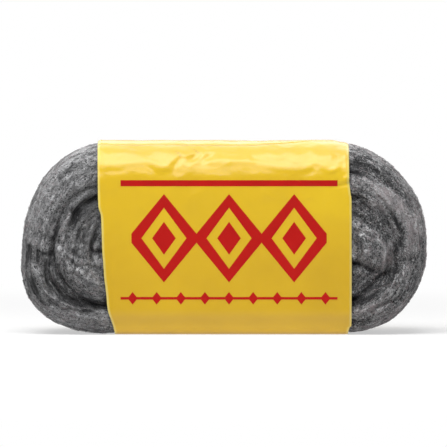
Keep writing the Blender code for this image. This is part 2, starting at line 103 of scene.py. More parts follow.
# Relief of the wool's front in millimetres: its kind, its half-width, and points on its line, each with its
# distance in from that end, height above the base and depth. A groove is the cleft between two round turns,
# a hollow is soft, and a strand stands proud by its depth.
LEFT_RELIEF = [
    ("groove", 4.5, [(37.6, 59.1, 2.8), (30.5, 58.7, 2.8), (26.9, 57.9, 2.6), (23.3, 56.3, 2.4),
        (20.2, 54.4, 2.4), (17.4, 51.2, 2.8), (15.8, 47.6, 3.8), (14.6, 43.7, 5.4), (13.8, 40.5, 6.2),
        (13.0, 37.3, 6.0), (12.6, 33.8, 5.0), (13.0, 30.6, 4.2), (14.2, 27.0, 4.0), (15.8, 23.4, 4.2),
        (18.2, 20.3, 4.6), (21.0, 17.1, 5.4), (24.1, 14.3, 6.2), (27.7, 12.4, 7.2), (33.3, 11.6, 7.4),
        (38.4, 11.6, 7.4)]),
    ("groove", 4.0, [(37.6, 55.1, 5.2), (30.9, 54.4, 5.4), (27.7, 53.6, 5.4), (24.9, 52.0, 5.2),
        (22.5, 49.6, 5.0), (21.0, 46.8, 4.2), (20.2, 43.7, 2.6), (20.2, 40.5, 1.2), (20.6, 37.7, 0.6)]),
    ("groove", 3.6, [(37.6, 33.0, 5.0), (31.7, 32.6, 5.0), (28.9, 33.0, 4.4), (26.9, 34.9, 3.6),
        (26.5, 37.7, 1.6), (26.9, 40.9, 0.8), (28.5, 43.7, 0.2)]),
    ("groove", 3.4, [(-0.8, 35.3, 2.8), (2.7, 34.5, 2.8), (5.9, 33.4, 2.6), (9.1, 31.8, 2.8),
        (11.8, 31.4, 3.2)]),
    ("groove", 3.2, [(1.1, 29.0, 0.8), (1.9, 25.0, 1.6), (3.5, 20.7, 2.0), (5.9, 17.1, 2.2),
        (9.1, 13.9, 2.2), (12.6, 12.0, 2.0), (16.6, 10.4, 1.8), (22.2, 9.6, 1.4), (28.5, 8.8, 1.0)]),
    ("groove", 2.2, [(25.3, 5.2, 0.9), (28.5, 4.4, 1.2), (37.6, 3.6, 1.3)]),
    ("groove", 3.0, [(30.5, 65.8, 0.8), (24.5, 65.4, 1.1), (19.4, 64.7, 1.2), (15.4, 61.9, 1.2),
        (13.4, 57.5, 1.1), (12.2, 52.4, 0.7)]),
    ("hollow", 3.8, [(10.3, 29.0, 1.0), (10.3, 25.0, 2.0), (11.8, 21.1, 2.8), (14.6, 17.5, 3.2),
        (18.6, 14.7, 3.2), (22.9, 13.1, 3.0)]),
    ("hollow", 7.0, [(37.6, 45.4, 2.0), (31.5, 44.8, 2.0), (29.6, 41.6, 2.2), (29.2, 37.7, 2.0)]),
    ("strand", 1.8, [(2.7, 30.6, 0.7), (5.1, 25.8, 1.0), (7.9, 20.7, 1.1), (11.1, 16.3, 1.1),
        (15.0, 13.1, 1.0), (19.8, 11.6, 0.8), (25.3, 10.4, 0.6)]),
    ("strand", 2.2, [(14.6, 33.8, 1.0), (16.6, 30.2, 1.2), (19.8, 27.0, 1.2), (23.3, 24.6, 1.2),
        (26.9, 22.3, 1.2), (30.5, 19.5, 1.2), (34.0, 17.5, 1.0)]),
    ("strand", 1.2, [(15.8, 33.8, 0.6), (19.0, 31.0, 0.8), (22.9, 29.4, 0.8), (26.9, 28.6, 0.7),
        (31.7, 27.4, 0.6)]),
    ("strand", 4.0, [(2.3, 39.3, 1.2), (6.3, 37.3, 1.4), (9.5, 36.1, 1.2)]),
    ("strand", 2.0, [(22.9, 53.2, 0.7), (19.8, 50.0, 0.9), (17.8, 46.0, 1.0), (17.0, 41.7, 1.0),
        (16.6, 37.7, 0.8)]),
]
RIGHT_RELIEF = [
    ("groove", 5.0, [(36.8, 52.4, 2.6), (29.6, 51.6, 2.6), (26.1, 51.2, 2.6), (22.5, 50.0, 2.6),
        (18.9, 47.6, 3.2), (16.2, 45.2, 3.8), (13.8, 41.7, 4.2), (12.2, 37.7, 4.6), (12.2, 33.8, 5.6),
        (13.4, 30.6, 5.8), (14.2, 27.8, 5.8), (15.8, 25.4, 6.0), (17.8, 23.4, 5.6), (20.5, 21.1, 4.8),
        (22.9, 18.7, 4.4), (25.3, 16.7, 4.8), (28.1, 14.3, 6.2), (30.8, 13.1, 7.0), (36.0, 12.8, 7.0)]),
    ("groove", 4.0, [(36.0, 29.0, 5.6), (30.0, 28.6, 5.4), (26.1, 27.4, 5.0), (22.1, 25.8, 4.4),
        (18.5, 24.6, 3.6), (15.8, 24.2, 3.0)]),
    ("groove", 2.8, [(11.8, 28.6, 1.4), (9.4, 29.4, 1.7), (6.7, 30.2, 1.7), (3.9, 31.4, 1.1),
        (1.1, 32.2, 0.7)]),
    ("groove", 2.8, [(19.3, 11.6, 1.0), (16.2, 12.8, 2.0), (13.0, 13.9, 2.0), (9.8, 15.5, 1.4),
        (7.4, 17.9, 0.8)]),
    ("groove", 3.0, [(36.0, 4.4, 3.0), (29.6, 4.8, 3.0), (25.7, 5.6, 2.6), (21.7, 6.8, 1.8),
        (17.8, 8.8, 0.9)]),
    ("hollow", 2.8, [(36.0, 55.1, 2.4), (29.6, 54.7, 2.4), (26.5, 54.4, 1.2)]),
    ("hollow", 4.0, [(36.0, 67.0, 2.0), (30.0, 67.4, 2.2), (26.1, 67.4, 2.0), (22.1, 65.8, 2.0),
        (18.9, 63.5, 2.2), (15.8, 61.1, 2.2), (12.6, 58.3, 1.6), (10.2, 55.5, 0.8)]),
    ("hollow", 2.6, [(36.0, 64.3, 1.6), (30.0, 64.3, 1.6), (26.5, 63.9, 0.8)]),
    ("hollow", 5.0, [(36.0, 20.3, 2.4), (28.9, 20.7, 2.4), (25.3, 21.5, 2.0), (22.1, 23.1, 1.4)]),
    ("strand", 3.2, [(36.0, 59.5, 0.5), (28.9, 59.9, 0.7), (23.9, 59.8, 0.9), (20.5, 58.2, 1.3),
        (17.6, 55.5, 1.9), (14.8, 52.8, 2.1), (12.0, 49.4, 2.0), (9.8, 45.8, 1.8), (8.5, 41.9, 1.6),
        (7.9, 38.1, 1.3), (8.4, 34.5, 0.6)]),
    ("strand", 2.4, [(24.5, 55.1, 0.6), (21.3, 53.2, 1.2), (18.1, 50.8, 0.9)]),
    ("strand", 8.0, [(36.0, 35.3, 1.2), (26.9, 34.9, 1.8), (22.1, 33.8, 1.8), (18.1, 31.0, 1.4)]),
    ("strand", 2.2, [(36.0, 44.4, 0.8), (29.6, 43.7, 1.0), (25.7, 42.5, 1.0), (22.1, 40.9, 1.0),
        (18.9, 38.1, 1.0), (16.6, 34.5, 1.0), (15.4, 31.0, 0.8)]),
    ("strand", 3.0, [(36.0, 9.2, 0.8), (28.1, 9.2, 1.0), (23.7, 10.8, 1.1), (19.7, 13.9, 0.9),
        (15.8, 17.5, 0.7), (11.8, 21.9, 0.8), (9.0, 26.6, 0.6)]),
]

# How the relief's lines stray along X and up: rows of height and two spans in millimetres, and a seed
STRAY_ALONG = [(0.7, 6.0, 6.0, 5), (0.3, 1.8, 1.8, 6)]
STRAY_UP = [(0.7, 6.0, 6.0, 7), (0.3, 1.8, 1.8, 8)]
# How much a line's width swings and over what distance, and how many half-widths it can reach for that
WIDTH_SWING = 0.3
WIDTH_SPAN = 7.0 * MM
WIDTH_SEED = 9
WIDTH_REACH = 1.5
# How rounded a cleft's bottom is, and how plainly the deeper one stays where two of them meet
CLEFT_ROUNDING = 0.10
MEETING_POWER = 2.5
# How far past the film the strands stand fully proud, and how far in from the outline the relief and the
# painted shade and highlights are full, in radii of the rounded edge
STRAND_RUN = 3.0 * MM
RELIEF_EASE = 0.7
PAINTED_SHADING_EASE = 0.25

# Painted shade in grooves and hollows for each millimetre of depth and how much narrower that shows,
# painted highlight on a strand for each millimetre it stands proud, and the limits of all painted shade and
# highlights together
GROOVE_PAINTED_SHADE = 0.11
GROOVE_SHADE_NARROWING = 1.3
STRAND_PAINTED_HIGHLIGHT = 0.25
PAINTED_SHADING_LIMITS = (-1.3, 1.9)

# Painted highlights and painted shade on the wool's ends: half-width, then the same kind of points,
# each with how much lighter or darker it is painted there
LEFT_PAINTED_SHADING = [
    (9.0, [(32.8, 52.8, -0.4), (30.0, 47.2, -0.5), (27.6, 40.9, -1.1), (26.0, 33.8, -1.2),
        (28.8, 30.6, -0.6)]),
    (2.6, [(31.2, 52.0, -0.6), (26.4, 50.0, -0.8), (22.8, 45.6, -0.8), (21.7, 41.7, -0.3)]),
    (4.5, [(24.0, 38.5, -0.4), (24.0, 35.3, -0.7), (24.8, 32.6, -0.6)]),
    (5.0, [(22.4, 48.8, -0.6), (20.9, 43.7, -0.6), (17.7, 37.7, -0.5)]),
    (4.0, [(19.3, 32.2, -0.4), (22.4, 31.0, -0.9), (26.4, 30.6, -0.6)]),
    (5.5, [(-0.9, 33.8, -1.3), (3.8, 31.8, -1.3), (9.8, 30.6, -1.3)]),
    (3.0, [(-0.9, 35.3, -1.2), (1.8, 34.9, -1.0)]),
    (4.0, [(-0.1, 29.0, -0.8), (1.4, 23.4, -1.2), (4.6, 18.7, -1.2), (9.0, 12.8, -0.5), (16.1, 9.6, -0.3)]),
    (3.4, [(7.4, 25.8, -0.4), (9.8, 21.1, -0.6), (13.3, 15.9, -0.7), (17.7, 13.5, -0.7), (24.0, 12.0, -0.6),
        (28.0, 10.4, -0.5)]),
    (6.0, [(12.1, 28.2, -0.5), (14.1, 23.4, -0.7), (17.7, 17.9, -0.5)]),
    (4.0, [(32.8, 58.3, -0.3), (27.2, 55.9, -0.7), (22.4, 53.6, -0.6), (19.3, 49.6, -0.5)]),
    (5.5, [(32.8, 65.4, -0.7), (24.8, 65.1, -0.5), (17.7, 62.3, -0.4), (14.5, 55.1, -0.6),
        (12.9, 50.4, -0.3)]),
    (5.0, [(7.4, 60.7, 0.2), (3.8, 52.8, 0.7), (1.4, 44.8, 1.6), (0.2, 40.1, 1.3)]),
    (3.0, [(9.8, 44.8, -0.3), (10.2, 40.1, -0.4), (10.2, 33.8, -0.5)]),
    (4.5, [(2.6, 39.3, -0.9), (6.6, 39.3, -0.7), (9.8, 37.7, -0.7)]),
    (2.2, [(3.4, 36.9, 0.8), (7.8, 34.5, 1.1), (10.2, 33.4, 0.5)]),
    (3.0, [(14.5, 42.5, -0.6), (14.9, 37.7, -0.8), (14.1, 33.0, -0.8)]),
    (2.5, [(16.9, 35.3, 0.4), (18.5, 32.2, 0.4)]),
    (3.0, [(15.3, 30.6, 0.2), (19.3, 25.8, 0.1), (23.2, 23.4, 0.2), (28.0, 21.1, 0.3)]),
    (3.0, [(17.7, 29.0, -0.5), (22.4, 26.6, -0.6), (27.2, 24.6, -0.6), (32.8, 24.2, -0.6)]),
    (9.0, [(24.8, 17.9, -0.4), (29.6, 18.7, -0.7), (34.3, 17.9, -0.8)]),
    (5.0, [(11.3, 8.4, 0.8), (17.7, 6.8, 0.9), (25.6, 5.2, 0.7), (34.3, 5.2, 0.3)]),
    (2.4, [(15.3, 11.2, 0.3), (20.9, 10.4, 0.4)]),
    (3.4, [(31.6, 35.3, -0.7), (31.6, 35.3, -0.7)]),
    (4.0, [(4.2, 12.0, -0.6), (9.8, 6.0, -0.8), (17.7, 1.7, -1.0), (27.2, -0.3, -0.9)]),
    (5.0, [(9.8, 63.1, 0.7), (13.7, 67.4, 0.9), (19.3, 71.8, 0.5)]),
    (4.0, [(28.0, 71.0, -0.5), (19.3, 67.0, -0.1)]),
    (3.0, [(24.8, 9.6, -0.5), (29.6, 9.2, -0.5)]),
    (2.0, [(17.9, 66.9, -0.6), (19.3, 67.7, -0.8), (21.4, 68.8, -0.4)]),
]
RIGHT_PAINTED_SHADING = [
    (7.5, [(30.3, 69.0, -0.3), (25.6, 68.2, -0.9), (19.2, 65.4, -0.4)]),
    (4.0, [(29.5, 72.6, -0.3), (24.8, 71.4, -0.4)]),
    (4.0, [(29.5, 64.3, -1.0), (26.4, 64.3, -1.0), (23.2, 62.7, -0.3)]),
    (3.0, [(17.6, 61.9, -0.3), (13.7, 59.9, -0.6), (10.5, 57.1, -0.5), (7.7, 53.2, -0.9),
        (5.4, 48.4, -0.5)]),
    (3.6, [(19.2, 59.1, 0.4), (16.1, 56.7, 1.7), (12.9, 54.0, 2.3), (9.7, 50.8, 2.2), (6.9, 46.0, 2.0),
        (5.4, 40.5, 1.5), (5.4, 35.3, 0.8)]),
    (2.6, [(30.3, 43.3, -0.5), (24.8, 42.1, -0.4)]),
    (4.5, [(29.5, 55.9, -0.5), (24.0, 55.1, -1.1), (20.8, 53.2, -0.4)]),
    (5.0, [(30.3, 50.4, -0.8), (25.6, 49.6, -1.0), (22.4, 47.6, -0.8)]),
    (2.6, [(21.6, 52.4, 0.6), (19.2, 50.4, 1.0), (16.9, 48.4, 0.5)]),
    (3.6, [(29.5, 46.8, -0.8), (25.6, 44.8, -0.6), (20.0, 43.7, -0.9), (16.1, 38.5, -0.7)]),
    (3.6, [(20.0, 48.4, -0.2), (16.1, 48.0, -0.5), (12.1, 45.2, -1.2), (10.1, 41.7, -1.2)]),
    (3.0, [(10.5, 37.7, -1.0), (10.9, 33.8, -1.3), (12.5, 30.6, -0.6)]),
    (3.0, [(14.1, 43.3, 0.4), (12.1, 40.1, 0.8), (12.5, 36.9, 0.6)]),
    (3.0, [(14.1, 35.3, 0.9), (14.5, 31.0, 1.3), (16.5, 27.0, 1.2)]),
    (3.0, [(20.0, 36.1, -0.2), (17.6, 33.8, -0.5)]),
    (4.0, [(8.9, 29.0, -0.2), (11.3, 25.8, -0.6), (14.1, 22.7, -0.5)]),
    (3.2, [(10.9, 28.6, -0.2), (7.3, 29.8, -0.4), (2.6, 31.4, -0.6)]),
    (3.0, [(24.0, 36.5, -0.4), (20.8, 35.3, -0.6)]),
    (3.0, [(18.8, 30.2, -0.6), (18.0, 27.8, -0.6)]),
    (4.0, [(21.6, 23.8, -0.4), (17.6, 25.0, -0.3)]),
    (3.8, [(32.3, 26.2, -1.8), (28.0, 25.8, -1.8), (24.8, 25.0, -0.5)]),
    (4.0, [(27.2, 19.5, -0.6), (21.6, 19.1, -0.8), (17.6, 21.9, -0.9), (13.7, 24.6, -0.7)]),
    (4.0, [(20.0, 15.1, -0.6), (15.3, 17.9, -0.5)]),
    (5.0, [(29.5, 13.9, -0.6), (24.8, 13.1, -1.2), (20.8, 15.5, -0.9)]),
    (3.6, [(25.6, 8.8, 0.5), (20.8, 11.2, 0.8), (15.3, 13.9, 0.4)]),
    (3.2, [(13.7, 12.8, -0.8), (10.5, 14.3, -1.0), (7.3, 17.9, -0.4)]),
    (3.2, [(32.3, 4.8, -0.6), (25.6, 6.0, -0.9), (20.0, 7.6, -0.7), (15.3, 10.0, -0.4)]),
    (3.6, [(29.5, 8.4, 0.6), (26.4, 7.2, 0.3)]),
    (9.0, [(32.3, 37.7, -0.9), (25.6, 36.9, -0.9), (20.0, 33.8, -0.5)]),
    (4.5, [(9.7, 64.7, 0.3), (5.0, 57.1, 0.6), (2.2, 49.6, 0.9), (1.0, 42.5, 0.9), (1.0, 35.3, 0.5)]),
    (5.0, [(8.9, 20.3, -0.4), (5.8, 23.1, -0.7), (3.0, 28.2, -0.4)]),
    (4.4, [(20.0, 3.6, 0.6), (11.3, 8.4, 1.3), (6.2, 13.5, 1.1)]),
]

# Broad locks and fine strands laid at random along the turns, in metres, and the painted highlight on
# what they raise. They stand fully proud this far past the film.
LOCKS = {"count": 160, "length": (0.025, 0.055), "width": (0.0035, 0.0065), "height": (0.0002, 0.0005),
         "stray": 0.10, "seed": 11}
FINE_STRANDS = {"count": 1500, "length": (0.010, 0.030), "width": (0.0010, 0.0022),
                "height": (0.00008, 0.00022), "stray": 0.14, "seed": 12}
LOCKS_PAINTED_HIGHLIGHT = 0.10
FINE_STRANDS_PAINTED_HIGHLIGHT = 0.20
RAISED_RUN = 5.0 * MM
# The longest strand's half-length in stations, and the least spacing of the mesh that it is measured by
LONGEST_HALF = 50
LEAST_ALONG = 0.2 * MM
LEAST_ACROSS = 0.1 * MM

# Loose fibres. Length, radius and lift are ranges in millimetres. Crimp and stray bend and turn a fibre, in
# radians. The painted shading lean draws the kind to painted highlights (above 0) and to painted shade
# (below 0), and rightward draws it to the right end.
CURLED = {"knots": 7, "length": (2.0, 5.0), "lift": (0.10, 0.50)}
FIBRE_KINDS = [
    {"name": "wool_fibres_grey", "colour": (0.14, 0.14, 0.143), "roughness": 0.42, "count": 3800, "knots": 8,
     "length": (4.0, 10.0), "radius": (0.040, 0.065), "lift": (0.05, 0.45), "crimp": 0.8, "stray": 0.30,
     "painted_shading_lean": 0.5, "rightward": -0.1},
    {"name": "wool_fibres_bright", "colour": (0.33, 0.33, 0.33), "roughness": 0.40, "count": 4300, **CURLED,
     "radius": (0.040, 0.060), "crimp": 1.8, "stray": 0.7, "painted_shading_lean": 1.0, "rightward": 0.3},
    {"name": "wool_fibres_dark", "colour": (0.030, 0.030, 0.033), "roughness": 0.50, "count": 4300, **CURLED,
     "radius": (0.055, 0.085), "crimp": 1.6, "stray": 0.6, "painted_shading_lean": -1.0, "rightward": 0.25},
    {"name": "wool_fibres_warm", "colour": (0.29, 0.245, 0.25), "roughness": 0.40, "count": 4600, **CURLED,
     "radius": (0.040, 0.060), "crimp": 1.6, "stray": 0.5, "painted_shading_lean": 1.0, "rightward": 0.6},
]
FIRST_FIBRE_SEED = 21
FIBRE_METALLIC = 0.6
FIBRE_BEND = 0.5
CRIMP_SHARE = (0.3, 1.0)
CRIMP_WAVES = (0.8, 2.2)
# How strongly fibres lean to the painted shade and highlights, and the values of painted shading between
# which they tell places apart
LEAN_POWER = 1.5
LEAN_LIMITS = (-1.5, 0.9)
# How far past the film fibres are as many, and rise as high, as they do farther out. Their ends dive into
# the wool, and what reaches under the film sinks in.
FIBRE_START_RUN = 0.5 * MM
FIBRE_FREE_RUN = 0.6 * MM
FIBRE_DIVE = 0.10 * MM
FIBRE_SINK = 0.25 * MM
FIBRE_LEAST_ALONG = 0.15 * MM
FIBRE_TIP = 0.35
FIBRE_SIDES = 3

# Colours of the wool's tangle, the first a near-black painted shade in the gaps between the threads, how
# wide its curling threads are as a share of the noise that they follow, and how strongly they brighten in
# patches
GAP_SHADE_COLOUR = (0.010, 0.010, 0.011)
THREAD_COLOUR = (0.375, 0.375, 0.38)
THREAD_WIDTH = 0.10
PATCH_STRENGTH = 1.2
# Stretch of what is drawn out along the turns
COMBED_STRETCH = 0.25
STREAK_STRETCH = 0.07
# Strength of the tangle's grain from the left core to the right one, and what the colour is multiplied by
# from the darkest painted shade to the lightest painted highlight, with streaks and grain added in
GRAIN_STRENGTH = {"From Min": -CORE_HALF_LENGTH, "From Max": CORE_HALF_LENGTH, "To Min": 1.2, "To Max": 4.2}
SHADING_AND_GRAIN_GAIN = {"From Min": -1.35, "From Max": 2.2, "To Min": 0.055, "To Max": 2.54}

# The film: its offset from the wool, its thickness, and its lap at the back with how far it stands out
FILM_OFFSET = 0.7 * MM
FILM_THICKNESS = 0.15 * MM
LAP_HEIGHT = 36.0 * MM
LAP_WIDTH = 14.0 * MM
LAP_EASE = 5.0 * MM
LAP_RISE = 0.4 * MM
# Where the film's two edges run: height and place along X in millimetres
LEFT_EDGE = [(0.0, -43.4), (2.8, -43.8), (6.0, -44.8), (10.0, -46.1), (16.3, -46.7), (22.7, -47.5),
             (29.0, -47.9), (33.7, -48.3), (46.4, -48.7), (49.6, -49.5), (52.8, -49.9), (65.5, -50.1),
             (78.0, -50.3)]
RIGHT_EDGE = [(0.0, 49.3), (1.6, 49.5), (4.0, 50.2), (7.0, 50.6), (49.6, 50.6), (55.9, 50.2), (62.0, 49.6),
              (78.0, 49.7)]

# Fineness of the film's mesh: steps round a corner, columns, those nearest an edge in hundredths of the
# width, and marks in arc length with the spacing of the rows before, between and after them, in millimetres
CORNER_STEPS = 32
FILM_COLUMNS = 130
RIM_COLUMNS = (0.0, 0.35, 0.7, 1.1, 1.7)
INNER_COLUMNS = (0.025, 0.975)
ROW_MARKS = (0.0, 62.0, 77.0, 86.0)
ROW_STEPS = (1.8, 0.8, 0.45, 0.22, 1.8)

# Creases and soft swells in the film, in millimetres: half-width, then points with X, arc height and how far
# the film stands out there
FILM_CREASES = [
    (0.7, [(-50.2, 78.5, -0.40), (-25.5, 78.6, -0.48), (4.4, 78.5, -0.48), (22.3, 79.9, -0.42),
        (40.3, 83.4, -0.20)]),
    (2.6, [(-50.3, 66.7, 0.16), (-45.2, 67.2, 0.24), (-41.2, 67.6, 0.28), (-37.3, 68.4, 0.30),
        (-31.3, 68.9, 0.30), (-28.5, 68.0, 0.34), (-25.3, 66.3, 0.34), (-22.2, 66.7, 0.34),
        (-19.0, 68.4, 0.34), (-15.1, 68.9, 0.30), (-10.7, 69.8, 0.28), (-3.6, 69.3, 0.28), (3.2, 69.3, 0.30),
        (10.3, 68.9, 0.30), (16.3, 67.6, 0.30), (22.2, 66.7, 0.30), (31.3, 65.9, 0.30), (36.1, 68.0, 0.30),
        (38.9, 67.2, 0.30), (43.6, 65.5, 0.28), (46.4, 69.3, 0.22), (49.3, 73.8, 0.16)]),
    (2.4, [(-19.8, 67.6, -0.50), (-18.2, 68.8, -0.60), (-16.9, 70.2, -0.40)]),
    (2.6, [(-14.4, 69.2, -0.50), (-12.3, 70.6, -0.70), (-10.4, 72.2, -0.40)]),
    (2.6, [(-8.4, 69.8, -0.50), (-6.3, 71.2, -0.70), (-4.3, 72.6, -0.40)]),
    (0.9, [(-18.7, 76.9, 0.10), (-17.2, 74.0, 0.16), (-15.9, 71.2, 0.10)]),
    (0.9, [(-9.9, 77.7, 0.10), (-8.4, 76.0, 0.16), (-7.1, 74.4, 0.10)]),
    (1.6, [(-20.2, 60.6, 0.10), (-17.8, 62.3, 0.20), (-15.4, 63.3, 0.10)]),
    (1.2, [(-1.4, 66.8, 0.08), (0.6, 67.8, 0.16), (2.4, 68.6, 0.08)]),
    (5.5, [(-17.0, 50.6, 0.12), (-9.5, 55.9, 0.26), (-2.5, 61.3, 0.14)]),
    (4.0, [(11.0, 53.0, 0.08), (17.0, 56.0, 0.20), (23.0, 58.6, 0.08)]),
    (6.0, [(22.0, 51.6, -0.10), (27.4, 44.4, -0.22), (32.3, 37.0, -0.10)]),
    (2.2, [(-2.2, 30.0, 0.04), (-3.1, 20.0, 0.10), (-3.0, 6.0, 0.08)]),
    (1.5, [(42.0, 58.7, -0.04), (46.6, 59.6, -0.36), (50.6, 60.3, -0.50)]),
    (1.6, [(46.6, 60.8, 0.10), (48.5, 62.1, 0.30), (50.6, 63.4, 0.20)]),
    (1.8, [(31.3, 53.4, 0.04), (34.1, 54.8, 0.14), (36.9, 53.4, 0.04)]),
    (1.4, [(41.6, 64.6, 0.10), (43.6, 65.3, 0.26), (45.6, 66.0, 0.10)]),
    (3.0, [(-47.6, 58.0, 0.10), (-48.4, 59.8, 0.26), (-50.4, 61.6, 0.20)]),
    (3.0, [(20.0, 66.0, -0.08), (26.0, 71.0, -0.22), (31.0, 77.0, -0.08)]),
    (3.4, [(-36.0, 64.0, -0.08), (-30.0, 58.0, -0.18), (-27.0, 50.0, -0.08)]),
    (1.4, [(12.4, 57.6, 0.03), (18.6, 55.3, 0.13), (24.6, 52.0, 0.04)]),
    (1.2, [(17.4, 58.2, 0.03), (22.4, 56.0, 0.11), (28.6, 52.6, 0.03)]),
    (1.8, [(-6.4, 58.6, 0.04), (-4.4, 55.6, 0.14), (-4.0, 51.0, 0.04)]),
    (1.6, [(-9.0, 57.6, 0.03), (-13.4, 54.6, 0.14), (-15.8, 50.0, 0.04)]),
]

# Painted shade along sharp folds and dents in the film: half-width in millimetres, then points with X, arc
# height and how dark the painted shade goes
FILM_FOLD_SHADE = [
    (0.45, [(-50.2, 78.5, 0.8), (-25.5, 78.6, 1.0), (4.4, 78.5, 1.0), (22.3, 79.9, 0.9), (34.0, 82.0, 0.6),
        (41.0, 83.6, 0.2)]),
    (0.55, [(41.5, 58.6, 0.1), (45.4, 59.6, 0.4), (50.6, 60.4, 0.5)]),
    (0.40, [(-19.4, 74.4, 0.2), (-18.0, 72.8, 0.8), (-17.0, 71.2, 0.3)]),
    (0.40, [(-12.6, 75.8, 0.2), (-11.0, 74.4, 0.8), (-9.6, 73.2, 0.3)]),
]

# Uneven shape of the film all over, and where it turns over the top: rows of height and two spans in
# millimetres, and a seed
FILM_SWELLS = [(0.20, 26, 30, 31), (0.10, 9, 12, 32), (0.03, 3.2, 3.6, 33)]
FILM_CRUMPLES = [(0.22, 8, 6, 34), (0.07, 3, 2.6, 35)]
# Slanted pleats up the front. Two pairs of spans in millimetres, along X and along the arc, set how wide the
# pleats are and how long.
PLEAT_HEIGHT = 0.14 * MM
PLEAT_SPANS = ((11, 17), (-30, 13))
PLEAT_SHARPNESS = 4
PLEAT_SEED = 36

# Places where the film's form changes, in millimetres: where a change starts and where it is full
SEAT_EASE = (2.0, 8.0)
CRUMPLE_EASE = (58.0, 66.0)
CRUMPLE_END = (80.0, 76.0)
PLEAT_EASE = (34.0, 50.0)
FLARE_EASE = (3.5, 0.0)
FLARE = 0.25 * MM
CURL_EASE = (1.1, 0.0)
CURL = -0.45 * MM
# The film follows the wool down where its top starts to fall at the right
DIP_EASE = (42.0, 50.5)
DIP_UPWARD = (0.3, 1.0)
DIP = -1.2 * MM

# Colours of the film and the ink between which clouds vary, the clouds' fineness, and how the two shine
FILM_COLOURS = ((0.62, 0.390, 0.003), (0.72, 0.470, 0.006))
INK_COLOURS = ((0.39, 0.002, 0.001), (0.48, 0.006, 0.003))
FILM_CLOUDS = 60
INK_CLOUDS = 140
FILM_SPECULAR = 0.5
INK_SPECULAR = 0.22
GLOSS = {"Roughness": 0.24, "IOR": 1.4}

# Shares by which the film's red, green and blue change: painted shade in a sharp fold, painted shade low
# down, painted light on the front just above the base, more painted shade low down at the right, and a
# painted glint up the right side
FOLD_PAINTED_SHADE = (-0.58, -0.58, -0.60)
LOW_PAINTED_SHADE = (-0.115, -0.15, 0.0)
BASE_PAINTED_LIGHT = (0.36, 0.42, 0.0)
RIGHT_PAINTED_SHADE = (-0.05, -0.06, 0.0)
PAINTED_GLINT = (0.05, 0.08, 0.0)
# Painted highlight along the film's thin edge, and the light tint of its turn under the base at the front
RIM_PAINTED_HIGHLIGHT = (0.12, 0.20, 0.14)
TURN_TINT = (0.0, 0.0, 0.03)
# Where these start and where they are full, in millimetres
LOW_EASE = (52.0, 20.0)
BASE_EASE = (8.0, 0.0)
RIGHT_EASE = (26.0, 42.0)
GLINT_EASE = (42.0, 52.0)
GLINT_END = (70.0, 64.0)
RIM_HIGHLIGHT_EASE = (1.1, 0.3)
TURN_EASE = (11.0, 6.0)

# The film's map: the outer side's height, the inner side's height and start, and the cut edge's strip
OUTER_MAP = 0.94
INNER_MAP = 0.03
INNER_MAP_START = 0.95
EDGE_MAP = (0.985, 0.995)

# The print
PRINT_CENTRE_X = 2.0 * MM
LOZENGES = 3
LOZENGE_WIDTH = 25.8 * MM
LOZENGE_HEIGHT = 35.0 * MM
LOZENGE_STROKE = 3.2 * MM
LOZENGE_NECK = 3.6 * MM
LOZENGE_CENTRE_HEIGHT = 38.4 * MM
DIAMOND_WIDTH = 9.4 * MM
DIAMOND_HEIGHT = 13.0 * MM
UPPER_RULE_HEIGHT = 60.2 * MM
UPPER_RULE_LENGTH = 86.0 * MM
UPPER_RULE_WIDTH = 2.4 * MM
BEADED_RULE_HEIGHT = 14.6 * MM
BEADED_RULE_LENGTH = 86.0 * MM
BEADED_RULE_WIDTH = 1.0 * MM
BEADS = 9
BEAD_WIDTH = 4.0 * MM
BEAD_HEIGHT = 5.0 * MM
INK_RISE = 0.05 * MM
PRINT_GRID = 1.0 * MM
PRINT_SHARP_ANGLE = math.radians(40)

# Light that the sky and the floor give to the roll, the floor's grey and size, and where it fades to white
SKY_LIGHT = 0.33
FLOOR_LIGHT = 0.35
FLOOR_GREY = 0.5
FLOOR_SIZE = 12.0
FLOOR_FADE = {"From Min": 0.14, "From Max": 0.6}


def smooth_step(low, high, value):
    share = np.clip((value - low) / (high - low), 0.0, 1.0)
    return share * share * (3.0 - 2.0 * share)


def ease(value, start, full):
    """0 at one place and 1 at another, both in millimetres, with a smooth change between them."""
    return smooth_step(start * MM, full * MM, value)


def noise(x, y, seed):
    """Smooth noise over a plane, from about -1 to 1, one swing per unit."""
    cell_x = np.floor(x).astype(np.int64)
    cell_y = np.floor(y).astype(np.int64)
    part_x = x - cell_x
    part_y = y - cell_y
    ease_x = part_x ** 3 * (part_x * (part_x * 6 - 15) + 10)
    ease_y = part_y ** 3 * (part_y * (part_y * 6 - 15) + 10)

    def corner(step_x, step_y):
        # Large odd numbers scramble the corner's place into the direction of its slope
        mixed = (cell_x + step_x) * 374761393 + (cell_y + step_y) * 668265263 + seed * 1442695041
        mixed = mixed & 0x7FFFFFFF
        mixed = ((mixed ^ (mixed >> 13)) * 1274126177) & 0x7FFFFFFF
        angle = (mixed % 65536) / 65536.0 * 2.0 * np.pi
        return np.cos(angle) * (part_x - step_x) + np.sin(angle) * (part_y - step_y)

    low = corner(0, 0) * (1 - ease_x) + corner(1, 0) * ease_x
    high = corner(0, 1) * (1 - ease_x) + corner(1, 1) * ease_x
    return (low * (1 - ease_y) + high * ease_y) * 1.5


def swells(x, z, rows):
    """Noises added up, from rows of height and two spans in millimetres, and a seed."""
    return sum(high * MM * noise(x / (wide * MM), z / (long * MM), seed) for high, wide, long, seed in rows)


def smooth_line(points, steps=8):
    """Smooth line through points, with whatever values each point carries."""
    knots = np.array(points, float)
    knots = np.concatenate([[2 * knots[0] - knots[1]], knots, [2 * knots[-1] - knots[-2]]])
    line = []
    for a, b, c, d in zip(knots, knots[1:], knots[2:], knots[3:]):
        for t in np.arange(steps) / steps:
            line.append(0.5 * (2 * b + (c - a) * t + (2 * a - 5 * b + 4 * c - d) * t * t
                               + (3 * b - a - 3 * c + d) * t ** 3))
    line.append(knots[-2])
    return np.array(line)


